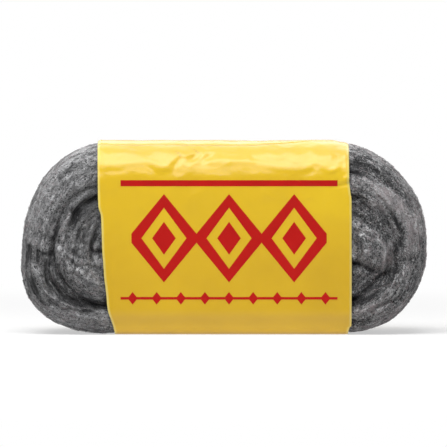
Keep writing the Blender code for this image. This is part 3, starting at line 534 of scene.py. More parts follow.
def from_line(x, z, line, reach):
    """How far each place is from a line of (x, z, value) points, and the line's value there. Places out of
    reach keep a distance of the reach."""
    away = np.full(x.shape, reach)
    value = np.zeros(x.shape)
    low = line[:, :2].min(0) - reach
    high = line[:, :2].max(0) + reach
    inside = (x > low[0]) & (x < high[0]) & (z > low[1]) & (z < high[1])
    px = x[inside]
    pz = z[inside]
    nearest = np.full(px.shape, reach)
    carried = np.zeros(px.shape)
    for a, b in zip(line, line[1:]):
        run = b[:2] - a[:2]
        share = np.clip(((px - a[0]) * run[0] + (pz - a[1]) * run[1]) / max(run.dot(run), 1e-14), 0, 1)
        distance = np.hypot(px - a[0] - run[0] * share, pz - a[1] - run[1] * share)
        closer = distance < nearest
        nearest = np.where(closer, distance, nearest)
        carried = np.where(closer, a[2] + (b[2] - a[2]) * share, carried)
    away[inside] = nearest
    value[inside] = carried
    return away, value


def soft_profile(away):
    """Round swell or hollow, from 1 on the line to 0 at its half-width."""
    return smooth_step(1.0, 0.0, away)


def cleft_profile(away):
    """Cleft between two round turns that touch, from 1 on the line to 0 at its half-width."""
    near = np.clip(1.0 - np.hypot(away, CLEFT_ROUNDING), 0.0, 1.0)
    return 1.0 - np.sqrt(1.0 - near * near)


def stroke(x, z, line, half_width):
    """What a soft line adds at each place: its own value on it, and nothing from its half-width on."""
    away, value = from_line(x, z, line, half_width)
    return value * soft_profile(away / half_width)


# Meshes and materials


def add_object(name, data):
    made = bpy.data.objects.new(name, data)
    bpy.context.collection.objects.link(made)
    return made


def mesh_object(name, points, faces, finish, maps=None):
    """Object from arrays of points and equal-sided faces, with UV maps that place each face's corners."""
    mesh = bpy.data.meshes.new(name)
    points = np.asarray(points, np.float32).reshape(-1, 3)
    faces = np.asarray(faces, np.int32)
    mesh.vertices.add(len(points))
    mesh.vertices.foreach_set("co", points.ravel())
    mesh.loops.add(faces.size)
    mesh.loops.foreach_set("vertex_index", faces.ravel())
    mesh.polygons.add(len(faces))
    mesh.polygons.foreach_set("loop_start", np.arange(0, faces.size, faces.shape[1], dtype=np.int32))
    mesh.update(calc_edges=True)
    for map_name, places in (maps or {}).items():
        mesh.uv_layers.new(name=map_name).data.foreach_set("uv", np.asarray(places, np.float32).ravel())
    mesh.materials.append(finish)
    return add_object(name, mesh)


def add_attribute(piece, name, kind, field, values):
    made = piece.data.attributes.new(name, kind, "POINT")
    made.data.foreach_set(field, np.asarray(values, np.float32).ravel())


def close_mesh(piece, merge_distance):
    """Merges points that meet, turns the faces outwards and shades them smooth."""
    data = bmesh.new()
    data.from_mesh(piece.data)
    bmesh.ops.remove_doubles(data, verts=data.verts[:], dist=merge_distance)
    bmesh.ops.recalc_face_normals(data, faces=data.faces[:])
    data.to_mesh(piece.data)
    data.free()
    piece.data.shade_smooth()


def fill_inputs(tree, made, inputs):
    """Sets a node's inputs. One that is given another node's output is linked to it."""
    for name, value in inputs.items():
        if isinstance(value, bpy.types.NodeSocket):
            tree.links.new(value, made.inputs[name])
        else:
            made.inputs[name].default_value = value


def node(tree, kind, inputs=None, **settings):
    made = tree.nodes.new(kind)
    for name, value in settings.items():
        setattr(made, name, value)
    fill_inputs(tree, made, inputs or {})
    return made


def new_finish(name, inputs):
    """Material whose shader has the given inputs, with its tree and the shader."""
    finish = bpy.data.materials.new(name)
    finish.use_nodes = True
    tree = finish.node_tree
    shader = tree.nodes["Principled BSDF"]
    fill_inputs(tree, shader, inputs)
    return finish, tree, shader


def maths(tree, operation, *values):
    return node(tree, "ShaderNodeMath", dict(enumerate(values)), operation=operation).outputs[0]


def vector_maths(tree, operation, inputs):
    return node(tree, "ShaderNodeVectorMath", inputs, operation=operation).outputs["Vector"]


def map_range(tree, value, inputs, **settings):
    return node(tree, "ShaderNodeMapRange", {"Value": value, **inputs}, **settings).outputs[0]


def texture(tree, place, scale, detail, dimensions="3D"):
    inputs = {"Vector": place, "Scale": scale, "Detail": detail}
    return node(tree, "ShaderNodeTexNoise", inputs, noise_dimensions=dimensions).outputs["Fac"]


def attribute(tree, name, output):
    return node(tree, "ShaderNodeAttribute", attribute_name=name).outputs[output]


def colour_between(tree, share, dark, light):
    ramp = node(tree, "ShaderNodeValToRGB", {"Fac": share})
    for stop, colour in zip(ramp.color_ramp.elements, (dark, light)):
        stop.color = (*colour, 1)
    return ramp.outputs["Color"]


def bump(tree, height, strength, distance):
    inputs = {"Height": height, "Strength": strength, "Distance": distance}
    return node(tree, "ShaderNodeBump", inputs).outputs["Normal"]


# Wool


def end_lines(*tables):
    """Smooth lines through the two ends' points, in metres, each after the rest of its row."""
    for side, rows in zip((-1, 1), tables):
        for *facts, points in rows:
            placed = [(side * (ROLL_LENGTH / 2 - into * MM), up * MM, value) for into, up, value in points]
            yield *facts, smooth_line(placed)


def end_point(side, angle):
    """Point of one end's outline: up from the base at -90 degrees, past the nose, to the top at 90."""
    nose = NOSE_HEIGHT[side]
    if angle < 0:
        fullness = LOWER_FULLNESS[side]
        rise = nose - ROLL_BASE
    else:
        fullness = UPPER_FULLNESS[side]
        rise = ROLL_TOP - nose
    reach = END_REACH * math.cos(angle) ** (2.0 / fullness)
    climb = rise * abs(math.sin(angle)) ** (2.0 / fullness)
    return (side * (CORE_HALF_LENGTH + reach), nose + math.copysign(climb, angle))


def even_end(side):
    """Evenly spaced points along one end's outline, from base to top, without its two ends."""
    angles = [math.pi * (step / OUTLINE_STEPS - 0.5) for step in range(OUTLINE_STEPS + 1)]
    fine = np.array([end_point(side, angle) for angle in angles])
    along = np.concatenate([[0], np.cumsum(np.linalg.norm(np.diff(fine, axis=0), axis=1))])
    wanted = np.linspace(0, along[-1], END_STATIONS + 1)[1:-1]
    return [(np.interp(s, along, fine[:, 0]), np.interp(s, along, fine[:, 1])) for s in wanted]


def outline_stations():
    """Stations round the roll: their points on the outline and on the core, and the turn's phase there."""
    core_x = np.linspace(-CORE_HALF_LENGTH, CORE_HALF_LENGTH, RUN_STATIONS + 1)
    middle = RUN_STATIONS // 2
    stations = [(x, ROLL_BASE, x, 0.0) for x in core_x[middle::-1]]
    stations += [(x, z, core_x[0], 0.0) for x, z in even_end(-1)]
    stations += [(x, ROLL_TOP, x, TURN_DRIFT * i / RUN_STATIONS) for i, x in enumerate(core_x)]
    stations += [(x, z, core_x[-1], TURN_DRIFT) for x, z in even_end(1)[::-1]]
    for i in range(RUN_STATIONS, middle, -1):
        crossing = (RUN_STATIONS - i) / (RUN_STATIONS - middle)
        stations.append((core_x[i], ROLL_BASE, core_x[i], TURN_DRIFT + (1.0 - TURN_DRIFT) * crossing))
    stations = np.array(stations)
    core = np.stack([stations[:, 2], np.full(len(stations), CORE_HEIGHT)], axis=1)
    return stations[:, :2], core, stations[:, 3:]


def end_zone():
    """Stations of the two ends, where the wool is free of the film."""
    left = np.arange(RUN_STATIONS // 2, RUN_STATIONS // 2 + END_STATIONS)
    return np.concatenate([left, left + END_STATIONS + RUN_STATIONS])


def film_edge(edge, z):
    """Place along X of one of the film's edges at each height."""
    smoothed = smooth_line(np.array(edge) * MM)
    return np.interp(z, smoothed[:, 0], smoothed[:, 1])


def free_of_film(x, z, run):
    """0 under the film, rising to 1 at a given distance past its edges."""
    past = np.maximum(film_edge(LEFT_EDGE, z) - x, x - film_edge(RIGHT_EDGE, z))
    return smooth_step(0.0, run, past)


def front_relief(x, z):
    """How deep the wool's front is pressed in, less what stands out there, and its painted shade and
    highlights.
    """
    strayed_x = x + swells(x, z, STRAY_ALONG)
    strayed_z = z + swells(x, z, STRAY_UP)
    wider = 1.0 + WIDTH_SWING * noise(x / WIDTH_SPAN, z / WIDTH_SPAN, WIDTH_SEED)
    sunk = np.zeros(x.shape)
    raised = np.zeros(x.shape)
    painted_shading = np.zeros(x.shape)
    for kind, half_width, line in end_lines(LEFT_RELIEF, RIGHT_RELIEF):
        away, depth = from_line(strayed_x, strayed_z, line, WIDTH_REACH * half_width * MM)
        away = away / (half_width * MM * wider)
        if kind == "strand":
            raised += depth * MM * soft_profile(away)
            # Painted highlight along a proud strand
            painted_shading += STRAND_PAINTED_HIGHLIGHT * depth * soft_profile(away)
        else:
            pressed = depth * MM * (cleft_profile(away) if kind == "groove" else soft_profile(away))
            sunk = (sunk ** MEETING_POWER + pressed ** MEETING_POWER) ** (1 / MEETING_POWER)
            # Painted shade along grooves and hollows
            painted_shading -= GROOVE_PAINTED_SHADE * depth * soft_profile(away * GROOVE_SHADE_NARROWING)
    # Painted shade and highlights from the two ends' tables
    for half_width, line in end_lines(LEFT_PAINTED_SHADING, RIGHT_PAINTED_SHADING):
        painted_shading += stroke(x, z, line, half_width * MM)
    return sunk - raised * free_of_film(x, z, STRAND_RUN), np.clip(painted_shading, *PAINTED_SHADING_LIMITS)


def groove_profile(turn):
    """1 in the groove between two turns, at a whole number of turns, and 0 on the turns' crests."""
    return 1.0 - np.abs(np.sin(np.pi * turn)) ** GROOVE_SHARPNESS


def even_face(outline, core, edge_rows, face_rows):
    """A broad face without relief, from the outline to the core: X, Z and how far out it lies at each point,
    the share of the way to the core, and how many edge radii it is past the outline."""
    reach = np.hypot(*(outline - core).T)[:, None]
    climb = outline[:, 1:] - ROLL_BASE
    radius = BASE_EDGE_RADIUS + (TOP_EDGE_RADIUS - BASE_EDGE_RADIUS) * climb / ROLL_HEIGHT
    edge = 1.0 - np.cos(0.5 * np.pi * np.arange(edge_rows) / edge_rows)
    flat = np.arange(face_rows + 1) / face_rows
    inward = np.concatenate([radius * edge, radius + (reach - radius) * flat], axis=1)
    share = inward / reach
    x = outline[:, :1] + (core - outline)[:, :1] * share
    z = outline[:, 1:] + (core - outline)[:, 1:] * share
    short = np.maximum(radius - inward, 0)
    level = ROLL_DEPTH / 2 - radius + np.sqrt(radius ** 2 - short ** 2)
    level += END_PUFF * free_of_film(x, z, PUFF_RUN) - PRESS_DEPTH * (1 - free_of_film(x, z, PRESS_RUN))
    return x, z, level, share, inward / radius


def rim_points(front_edge, back_edge, to_core):
    """The rim between the two faces, with furrows between its bundles where the film leaves it free."""
    share = (np.arange(1, RIM_ROWS) / RIM_ROWS)[None, :, None]
    rim = front_edge + (back_edge - front_edge) * share
    x = rim[..., :1]
    z = rim[..., 2:]
    wander = FURROW_WANDER * np.sin((x + z) / FURROW_WAVE)
    free = free_of_film(x, z, PUFF_RUN) * smooth_step(0.0, FURROW_EASE, np.minimum(share, 1 - share))
    return rim + to_core * FURROW_DEPTH * groove_profile(RIM_BUNDLES * share + wander) * free


def wool_grid():
    """Points of the wool's surface and its painted shade and highlights: stations round the roll, rows from
    the front core to the back core."""
    outline, core, phase = outline_stations()
    x, z, level, share, past_edge = even_face(outline, core, FRONT_EDGE_ROWS, FRONT_FACE_ROWS)
    relief, painted_shading = front_relief(x, z)
    front = np.stack([x, -(level - relief * smooth_step(0.0, RELIEF_EASE, past_edge)), z], axis=2)[:, ::-1]
    painted_shading = (painted_shading * smooth_step(0.0, PAINTED_SHADING_EASE, past_edge))[:, ::-1]
    x, z, level, share, past_edge = even_face(outline, core, BACK_EDGE_ROWS, BACK_FACE_ROWS)
    level -= BACK_GROOVE_DEPTH * groove_profile(TURNS * share + phase) * smooth_step(0.0, 1.0, past_edge)
    level += (ROLL_DEPTH / 2 - BACK_GROOVE_DEPTH - level) * smooth_step(BACK_CORE_START, 1.0, share)
    back = np.stack([x, level, z], axis=2)
    to_core = np.insert(core - outline, 1, 0.0, axis=1)
    to_core /= np.linalg.norm(to_core, axis=1, keepdims=True)
    rim = rim_points(front[:, -1:], back[:, :1], to_core[:, None])
    points = np.concatenate([front, rim, back], axis=1)
    return points, np.pad(painted_shading, ((0, 0), (0, points.shape[1] - painted_shading.shape[1])))


def grid_normals(points):
    along = np.roll(points, -1, axis=0) - np.roll(points, 1, axis=0)
    normal = unit(np.cross(np.gradient(points, axis=1), along))
    outward = np.sum((points - [0, 0, ROLL_TOP / 2]) * normal)
    return normal if outward > 0 else -normal


def unit(vectors):
    return vectors / np.maximum(np.linalg.norm(vectors, axis=2, keepdims=True), 1e-12)


def grid_spacing(points):
    """Distances from each point to the next station's, and between its own rows."""
    along = np.linalg.norm(np.roll(points, -1, axis=0) - points, axis=2)
    return along, np.linalg.norm(np.gradient(points, axis=1), axis=2)


def strand_relief(points, count, length, width, height, stray, seed):
    """Height of many soft strands laid along the turns."""
    draw = np.random.default_rng(seed)
    stations, rows = points.shape[:2]
    field = np.zeros((stations, rows))
    step_along, step_across = grid_spacing(points)
    zone = end_zone()
    for _ in range(count):
        i = zone[draw.integers(len(zone))]
        j = draw.integers(rows)
        across = max(step_across[i, j], LEAST_ACROSS)
        half = min(draw.uniform(*length) / max(step_along[i, j], LEAST_ALONG) / 2, LONGEST_HALF)
        reach = draw.uniform(*width) / across / 2
        slant = draw.normal(0, stray) * step_along[i, j] / across
        rise = draw.uniform(*height)
        di = np.arange(-int(half), int(half) + 1)
        span = int(reach * 2 + abs(slant) * half) + 1
        dj = np.arange(-span, span + 1)
        keep = (j + dj >= 0) & (j + dj < rows)
        shape = np.exp(-((dj[None, :] - slant * di[:, None]) / reach) ** 2)
        shape *= 1 - (di[:, None] / (half + 1)) ** 2
        field[np.ix_((i + di) % stations, (j + dj)[keep])] += rise * shape[:, keep]
    return field - field.mean()


def curls(tree, place, scale, dimensions="3D"):
    """Fine curling threads: bright where a noise crosses its middle."""
    tangle = texture(tree, place, scale, detail=1, dimensions=dimensions)
    apart = maths(tree, "ABSOLUTE", maths(tree, "SUBTRACT", tangle, 0.5))
    limits = {"From Min": 0.0, "From Max": THREAD_WIDTH, "To Min": 1.0, "To Max": 0.0}
    return map_range(tree, apart, limits, interpolation_type="SMOOTHSTEP")


def along_turns(tree, stretch):
    """Places on the wool, drawn out along its turns."""
    turns = node(tree, "ShaderNodeUVMap", uv_map="turns").outputs["UV"]
    return node(tree, "ShaderNodeMapping", {"Vector": turns, "Scale": (stretch, 1.0, 1.0)}).outputs["Vector"]


def shading_and_grain_gain(tree, place):
    """What the wool's colour is multiplied by: its painted shade and highlights, with streaks along the
    turns and a fine grain.
    """
    streaks = texture(tree, along_turns(tree, STREAK_STRETCH), scale=900, detail=2, dimensions="2D")
    streaked = maths(tree, "MULTIPLY_ADD", streaks, 2.0, -1.0)
    # Painted shade and highlights, with streaks along the turns
    shaded = maths(tree, "ADD", attribute(tree, "painted_shading", "Fac"), streaked)
    side = node(tree, "ShaderNodeSeparateXYZ", {"Vector": place}).outputs["X"]
    grain = maths(tree, "SUBTRACT", texture(tree, place, scale=1500, detail=1), 0.5)
    grain = maths(tree, "MULTIPLY", grain, map_range(tree, side, GRAIN_STRENGTH))
    return map_range(tree, maths(tree, "ADD", shaded, grain), SHADING_AND_GRAIN_GAIN)


def wool_finish():
    """Tangle of fine steel: bright curling threads over painted shade in the gaps between them, partly drawn
    out along the turns.
    """
    finish, tree, shader = new_finish("wool_mass", {"Metallic": 0.4, "Roughness": 0.6})
    place = node(tree, "ShaderNodeTexCoord").outputs["Object"]
    combed = curls(tree, along_turns(tree, COMBED_STRETCH), scale=1100, dimensions="2D")
    curled = maths(tree, "MAXIMUM", curls(tree, place, scale=700), curls(tree, place, scale=1250))
    bright = maths(tree, "MAXIMUM", curled, combed)
    patches = maths(tree, "MULTIPLY", texture(tree, place, scale=420, detail=2), PATCH_STRENGTH)
    # Near-black painted shade in the gaps between the bright threads
    colour = colour_between(tree, maths(tree, "MULTIPLY", bright, patches), GAP_SHADE_COLOUR, THREAD_COLOUR)
    shaded = vector_maths(tree, "SCALE", {"Vector": colour, "Scale": shading_and_grain_gain(tree, place)})
    relief = bump(tree, bright, strength=0.5, distance=0.0003)
    fill_inputs(tree, shader, {"Base Color": shaded, "Normal": relief})
    return finish


def wool_body(points, painted_shading):
    stations, rows = points.shape[:2]
    index = np.arange(stations * rows).reshape(stations, rows)
    after = np.roll(index, -1, axis=0)
    quads = np.stack([index[:, :-1], index[:, 1:], after[:, 1:], after[:, :-1]], axis=2).reshape(-1, 4)
    rim = points[:, rows // 2]
    round_roll = np.concatenate([[0], np.cumsum(np.linalg.norm(np.roll(rim, -1, axis=0) - rim, axis=1))])
    across = np.cumsum(np.linalg.norm(np.diff(points, axis=1, prepend=points[:, :1]), axis=2).mean(axis=0))

    def corners(u, v):
        grid = np.stack(np.meshgrid(u, v, indexing="ij"), axis=2)
        return np.stack([grid[:-1, :-1], grid[:-1, 1:], grid[1:, 1:], grid[1:, :-1]], axis=2)

    maps = {
        "OFBake": corners(round_roll / round_roll[-1], across / across[-1]),
        "turns": corners(round_roll, across),
    }
    piece = mesh_object("wool_body", points, quads, wool_finish(), maps)
    add_attribute(piece, "painted_shading", "FLOAT", "value", painted_shading)
    close_mesh(piece, merge_distance=1e-6)
    return piece


def read_grid(grid, i, j):
    """Values between the points of a grid whose stations run round in a ring."""
    stations, rows = grid.shape[:2]
    low_i = np.floor(i).astype(int)
    # Just short of the last row, so that there is always a next one
    j = np.clip(j, 0, rows - 1.001)
    low_j = np.floor(j).astype(int)
    part_i = (i - low_i)[..., None]
    part_j = (j - low_j)[..., None]

    def between_stations(row):
        return grid[low_i % stations, row] * (1 - part_i) + grid[(low_i + 1) % stations, row] * part_i

    return between_stations(low_j) * (1 - part_j) + between_stations(low_j + 1) * part_j


def fibre_starts(kind, points, painted_shading, draw):
    """Stations and rows of the fibres' middles, drawn at random over the free wool, and more often from the
    painted highlights or painted shade that their kind leans to, and from the end that it leans to."""
    zone = end_zone()
    x = points[zone][..., 0]
    step_along, step_across = grid_spacing(points)
    weight = (step_along * step_across)[zone] * free_of_film(x, points[zone][..., 2], FIBRE_START_RUN)
    # Kinds that lean to painted highlights or painted shade are drawn more often there
    weight = weight * np.exp(LEAN_POWER * kind["painted_shading_lean"] * np.clip(painted_shading[zone], *LEAN_LIMITS))
    weight = weight * (1.0 + kind["rightward"] * np.sign(x))
    count = kind["count"]
    pick = draw.choice(weight.size, count, p=(weight / weight.sum()).ravel())
    rows = points.shape[1]
    i = zone[pick // rows] + draw.uniform(-0.5, 0.5, count)
    return i, pick % rows + draw.uniform(-0.5, 0.5, count)


def fibre_runs(kind, draw):
    """How far each knot of each fibre lies from the fibre's middle, along the turns and across them."""
    one_each = (kind["count"], 1)
    knots = kind["knots"]
    t = np.linspace(-0.5, 0.5, knots)
    stride = draw.uniform(*kind["length"], one_each) * MM / (knots - 1)
    heading = draw.normal(0, kind["stray"], one_each) + draw.normal(0, FIBRE_BEND, one_each) * t
    swing = draw.uniform(*CRIMP_SHARE, one_each) * kind["crimp"]
    waves = draw.uniform(*CRIMP_WAVES, one_each)
    offset = draw.uniform(0, 2 * np.pi, one_each)
    heading = heading + swing * np.sin(2 * np.pi * waves * t + offset)
    runs = [np.cumsum(stride * part(heading), axis=1) for part in (np.cos, np.sin)]
    return [run - run.mean(axis=1, keepdims=True) for run in runs]


def fibres(kind, surface, painted_shading, seed):
    """Fine steel fibres laid over the wool, which dive in at both ends."""
    points, normals = surface
    draw = np.random.default_rng(seed)
    stations, rows = points.shape[:2]
    start_i, start_j = fibre_starts(kind, points, painted_shading, draw)
    near_i = np.clip(np.round(start_i).astype(int), 0, stations - 1)
    near_j = np.clip(np.round(start_j).astype(int), 0, rows - 1)
    step_along, step_across = (step[near_i, near_j][:, None] for step in grid_spacing(points))
    along, across = fibre_runs(kind, draw)
    i = start_i[:, None] + along / np.maximum(step_along, FIBRE_LEAST_ALONG)
    j = start_j[:, None] + across / np.maximum(step_across, LEAST_ACROSS)
    base = read_grid(points, i, j)
    normal = read_grid(normals, i, j)
    arch = np.cos(np.pi * np.linspace(-0.5, 0.5, kind["knots"]))
    rise = draw.uniform(*kind["lift"], (kind["count"], 1)) * MM * arch - FIBRE_DIVE
    free = free_of_film(base[..., 0], base[..., 2], FIBRE_FREE_RUN)
    path = base + normal * (rise * free - FIBRE_SINK * (1 - free))[..., None]
    radius = draw.uniform(*kind["radius"], kind["count"]) * MM
    finish = new_finish(kind["name"], {"Base Color": (*kind["colour"], 1), "Metallic": FIBRE_METALLIC,
                                       "Roughness": kind["roughness"]})[0]
    return threads(kind["name"], path, radius, normal, finish)


def threads(name, path, radius, normal, finish):
    """Closed three-sided threads with thinner tips, one along each path."""
    count, knots = path.shape[:2]
    tangent = unit(np.gradient(path, axis=1))
    side = unit(np.cross(tangent, normal))
    up = np.cross(side, tangent)
    angles = np.linspace(0, 2 * np.pi, FIBRE_SIDES, endpoint=False)[:, None]
    taper = np.ones(knots)
    taper[[0, -1]] = FIBRE_TIP
    ring = side[:, :, None, :] * np.cos(angles) + up[:, :, None, :] * np.sin(angles)
    points = path[:, :, None, :] + ring * (radius[:, None] * taper)[:, :, None, None]
    index = np.arange(count * knots * FIBRE_SIDES).reshape(count, knots, FIBRE_SIDES)
    a = index[:, :-1]
    b = index[:, 1:]
    next_a = np.roll(a, -1, axis=2)
    next_b = np.roll(b, -1, axis=2)
    sides = [np.stack(corners, axis=3).reshape(-1, 3) for corners in ((a, next_b, next_a), (a, b, next_b))]
    triangles = np.concatenate([*sides, index[:, 0], index[:, -1, ::-1]])
    piece = mesh_object(name, points, triangles, finish)
    piece.data.shade_smooth()
    return piece


def make_wool():
    points, painted_shading = wool_grid()
    locks = strand_relief(points, **LOCKS)
    strands = strand_relief(points, **FINE_STRANDS)
    free = free_of_film(points[..., 0], points[..., 2], RAISED_RUN)
    shaped = points + grid_normals(points) * ((locks + strands) * free)[..., None]
    # Painted highlight on the raised locks and fine strands
    painted_shading = painted_shading + LOCKS_PAINTED_HIGHLIGHT * locks / locks.std() + FINE_STRANDS_PAINTED_HIGHLIGHT * strands / strands.std()
    body = wool_body(shaped, painted_shading)
    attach(body, "root")
    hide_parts("wool_roll")
    surface = (shaped, grid_normals(shaped))
    for seed, kind in enumerate(FIBRE_KINDS, FIRST_FIBRE_SEED):
        piece = fibres(kind, surface, painted_shading, seed)
        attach(piece, "root")


# Film


def film_path():
    """Section of the film's outer face, from its inner end at the back, round under the base, up the front,
    over the top and down to its outer end: arc length, Y, Z and the outward direction at each step. On the
    flat front, the arc length is the height."""
    half = ROLL_DEPTH / 2 + FILM_OFFSET
    low = ROLL_BASE - FILM_OFFSET
    high = ROLL_TOP + FILM_OFFSET
    base_radius = BASE_EDGE_RADIUS + FILM_OFFSET
    top_radius = TOP_EDGE_RADIUS + FILM_OFFSET
    corners = [
        (half - base_radius, low + base_radius, base_radius, 0.0),
        (-half + base_radius, low + base_radius, base_radius, -90.0),
        (-half + top_radius, high - top_radius, top_radius, -180.0),
        (half - top_radius, high - top_radius, top_radius, -270.0),
    ]
    points = [(half, LAP_HEIGHT + LAP_WIDTH / 2, 1.0, 0.0)]
    for centre_y, centre_z, radius, first in corners:
        for step in range(CORNER_STEPS + 1):
            angle = math.radians(first - 90.0 * step / CORNER_STEPS)
            out_y = math.cos(angle)
            out_z = math.sin(angle)
            points.append((centre_y + radius * out_y, centre_z + radius * out_z, out_y, out_z))
    points.append((half, LAP_HEIGHT - LAP_WIDTH / 2, 1.0, 0.0))
    points = np.array(points)
    length = np.concatenate([[0], np.cumsum(np.hypot(np.diff(points[:, 0]), np.diff(points[:, 1])))])
    front_start = 2 * (CORNER_STEPS + 1)
    length += points[front_start, 1] - length[front_start]
    return np.column_stack([length, points])


def film_strokes(x, s, rows):
    """What each line in the film adds, from rows of half-width and points."""
    for half_width, points in rows:
        line = smooth_line([(px * MM, ps * MM, value) for px, ps, value in points])
        yield stroke(x, s, line, half_width * MM)


def film_relief(x, s):
    """How far the film stands out from its even shape, at each place along X and arc length."""
    relief = swells(x, s, FILM_SWELLS)
    relief += swells(x, s, FILM_CRUMPLES) * ease(s, *CRUMPLE_EASE) * ease(s, *CRUMPLE_END)
    across, along = (x / (wide * MM) + s / (long * MM) for wide, long in PLEAT_SPANS)
    pleats = (1.0 - np.abs(noise(across, along, PLEAT_SEED))) ** PLEAT_SHARPNESS
    relief += PLEAT_HEIGHT * pleats * ease(s, *PLEAT_EASE)
    return relief + MM * sum(film_strokes(x, s, FILM_CREASES))


def film_rise(x, s, z, out_z, edge):
    """How far the whole film stands out: its relief, its flared and curled edges, its lap, and its dip where
    the wool's top starts to fall."""
    loose = film_relief(x, s) + FLARE * ease(edge, *FLARE_EASE) + CURL * ease(edge, *CURL_EASE)
    lap_start = s[-1, 0] - LAP_WIDTH
    lap = LAP_RISE * smooth_step(lap_start - LAP_EASE, lap_start, s)
    return loose * ease(z, *SEAT_EASE) + lap + DIP * ease(x, *DIP_EASE) * smooth_step(*DIP_UPWARD, out_z)


def film_painted_shading(x, y, z, fold_shade):
    """Share by which the film's painted shade, painted light and painted glint change its red, green and
    blue at each place.
    """
    # Painted shade low down and at the right, painted light on the front above the base, and a painted glint
    # up the right
    low = ease(z, *LOW_EASE)
    right = ease(x, *RIGHT_EASE)
    base = ease(z, *BASE_EASE) * (y < 0)
    glint = right * ease(z, *GLINT_EASE) * ease(z, *GLINT_END)
    total = 1.0
    for amount, painted_shading_gain in ((fold_shade, FOLD_PAINTED_SHADE), (low, LOW_PAINTED_SHADE), (base, BASE_PAINTED_LIGHT), (right * low, RIGHT_PAINTED_SHADE),
                         (glint, PAINTED_GLINT)):
        total = total * (1.0 + amount[..., None] * np.array(painted_shading_gain))
    return total - 1.0


def film_rows(path):
    """Arc lengths of the film's rows: fine up the front and over the top, and wider apart elsewhere."""
    marks = [path[0, 0], *(mark * MM for mark in ROW_MARKS), path[-1, 0]]
    runs = []
    for start, end, step in zip(marks, marks[1:], ROW_STEPS):
        runs.append(np.linspace(start, end, round((end - start) / (step * MM)) + 1)[:-1])
    return np.concatenate([*runs, marks[-1:]])


def film_columns():
    """Shares of the film's width at its columns, close together at its edges."""
    rim = np.array(RIM_COLUMNS) / 100.0
    return np.concatenate([rim, np.linspace(*INNER_COLUMNS, FILM_COLUMNS - 2 * len(rim)), 1.0 - rim[::-1]])


def film_faces(rows, columns):
    """Faces of the film's outer side, its inner side and the cut edge between them."""
    index = np.arange(rows * columns).reshape(rows, columns)
    outer = np.stack([index[:-1, :-1], index[1:, :-1], index[1:, 1:], index[:-1, 1:]], axis=2).reshape(-1, 4)
    edge = np.concatenate([index[:-1, 0], index[-1, :-1], index[:0:-1, -1], index[0, :0:-1]])
    after = np.roll(edge, -1)
    inward = index.size
    return outer, outer[:, ::-1] + inward, np.stack([edge, after, after + inward, edge + inward], axis=1)


def film_map(s, u, outer, edge_count):
    """Places of the faces' corners on the film's map: the outer side takes nearly all of it, the inner side
    a strip above that, and the cut edge a line."""
    spread = np.stack([u, (s - s[0]) / (s[-1] - s[0])], axis=2).reshape(-1, 2)
    inner_map = spread[outer[:, ::-1]] * [1.0, INNER_MAP] + [0.0, INNER_MAP_START]
    at = np.arange(edge_count) / edge_count
    after = at + 1.0 / edge_count
    up = np.tile(np.repeat(EDGE_MAP, 2), (edge_count, 1))
    edge_map = np.stack([np.stack([at, after, after, at], axis=1), up], axis=2)
    return np.concatenate([spread[outer] * [1.0, OUTER_MAP], inner_map, edge_map])


def make_film():
    path = film_path()
    s, u = np.meshgrid(film_rows(path), film_columns(), indexing="ij")
    y, z, out_y, out_z = (np.interp(s, path[:, 0], values) for values in path[:, 1:].T)
    left = film_edge(LEFT_EDGE, z)
    width = film_edge(RIGHT_EDGE, z) - left
    x = left + width * u
    edge = np.minimum(u, 1 - u) * width
    rise = film_rise(x, s, z, out_z, edge)

    def shell(out):
        return np.stack([x, y + out_y * out, z + out_z * out], axis=2)

    points = [shell(rise), shell(rise - FILM_THICKNESS)]
    faces = film_faces(*s.shape)
    maps = {"OFBake": film_map(s, u, faces[0], len(faces[2]))}
    piece = mesh_object("film", points, np.concatenate(faces), film_finish(), maps)
    # Painted shade along the film's sharp folds and dents
    fold_shade = np.max(list(film_strokes(x, s, FILM_FOLD_SHADE)), axis=0, initial=0.0)
    turned = ease(z, *TURN_EASE) * (y < 0)
    # Painted highlight along the film's thin edge, with the light tint of its turn under the base
    rim_highlight_and_tint = ease(edge, *RIM_HIGHLIGHT_EASE)[..., None] * RIM_PAINTED_HIGHLIGHT + turned[..., None] * TURN_TINT
    for name, values in (("painted_shading_gain", film_painted_shading(x, y, z, fold_shade)), ("rim_highlight_and_tint", rim_highlight_and_tint)):
        add_attribute(piece, name, "FLOAT_VECTOR", "vector", [values, values])
    close_mesh(piece, merge_distance=1e-8)
    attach(piece, "root")
    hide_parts("sleeve")


def printed_finish(name, colours, clouds, specular):
    """Glossy film or ink with slight clouds in its colour and fine wrinkles. The film's painted shade,
    painted light and glint, its edge's painted highlight and its light tint change its colour from place to
    place."""
    finish, tree, shader = new_finish(name, {**GLOSS, "Specular IOR Level": specular})
    place = node(tree, "ShaderNodeTexCoord").outputs["Object"]
    colour = colour_between(tree, texture(tree, place, clouds, detail=2), *colours)
    # The film's painted shade, painted light and glint, then its edge's painted highlight and tint
    painted_shading_gain = attribute(tree, "painted_shading_gain", "Vector")
    changed = vector_maths(tree, "MULTIPLY_ADD", {0: colour, 1: painted_shading_gain, 2: colour})
    whole = vector_maths(tree, "ADD", {0: changed, 1: attribute(tree, "rim_highlight_and_tint", "Vector")})
    wrinkles = bump(tree, texture(tree, place, scale=260, detail=3), strength=0.35, distance=0.0004)
    fill_inputs(tree, shader, {"Base Color": whole, "Normal": wrinkles})
    return finish


def film_finish():
    return printed_finish("film", FILM_COLOURS, FILM_CLOUDS, FILM_SPECULAR)


def ink_finish():
    return printed_finish("ink", INK_COLOURS, INK_CLOUDS, INK_SPECULAR)


# Print


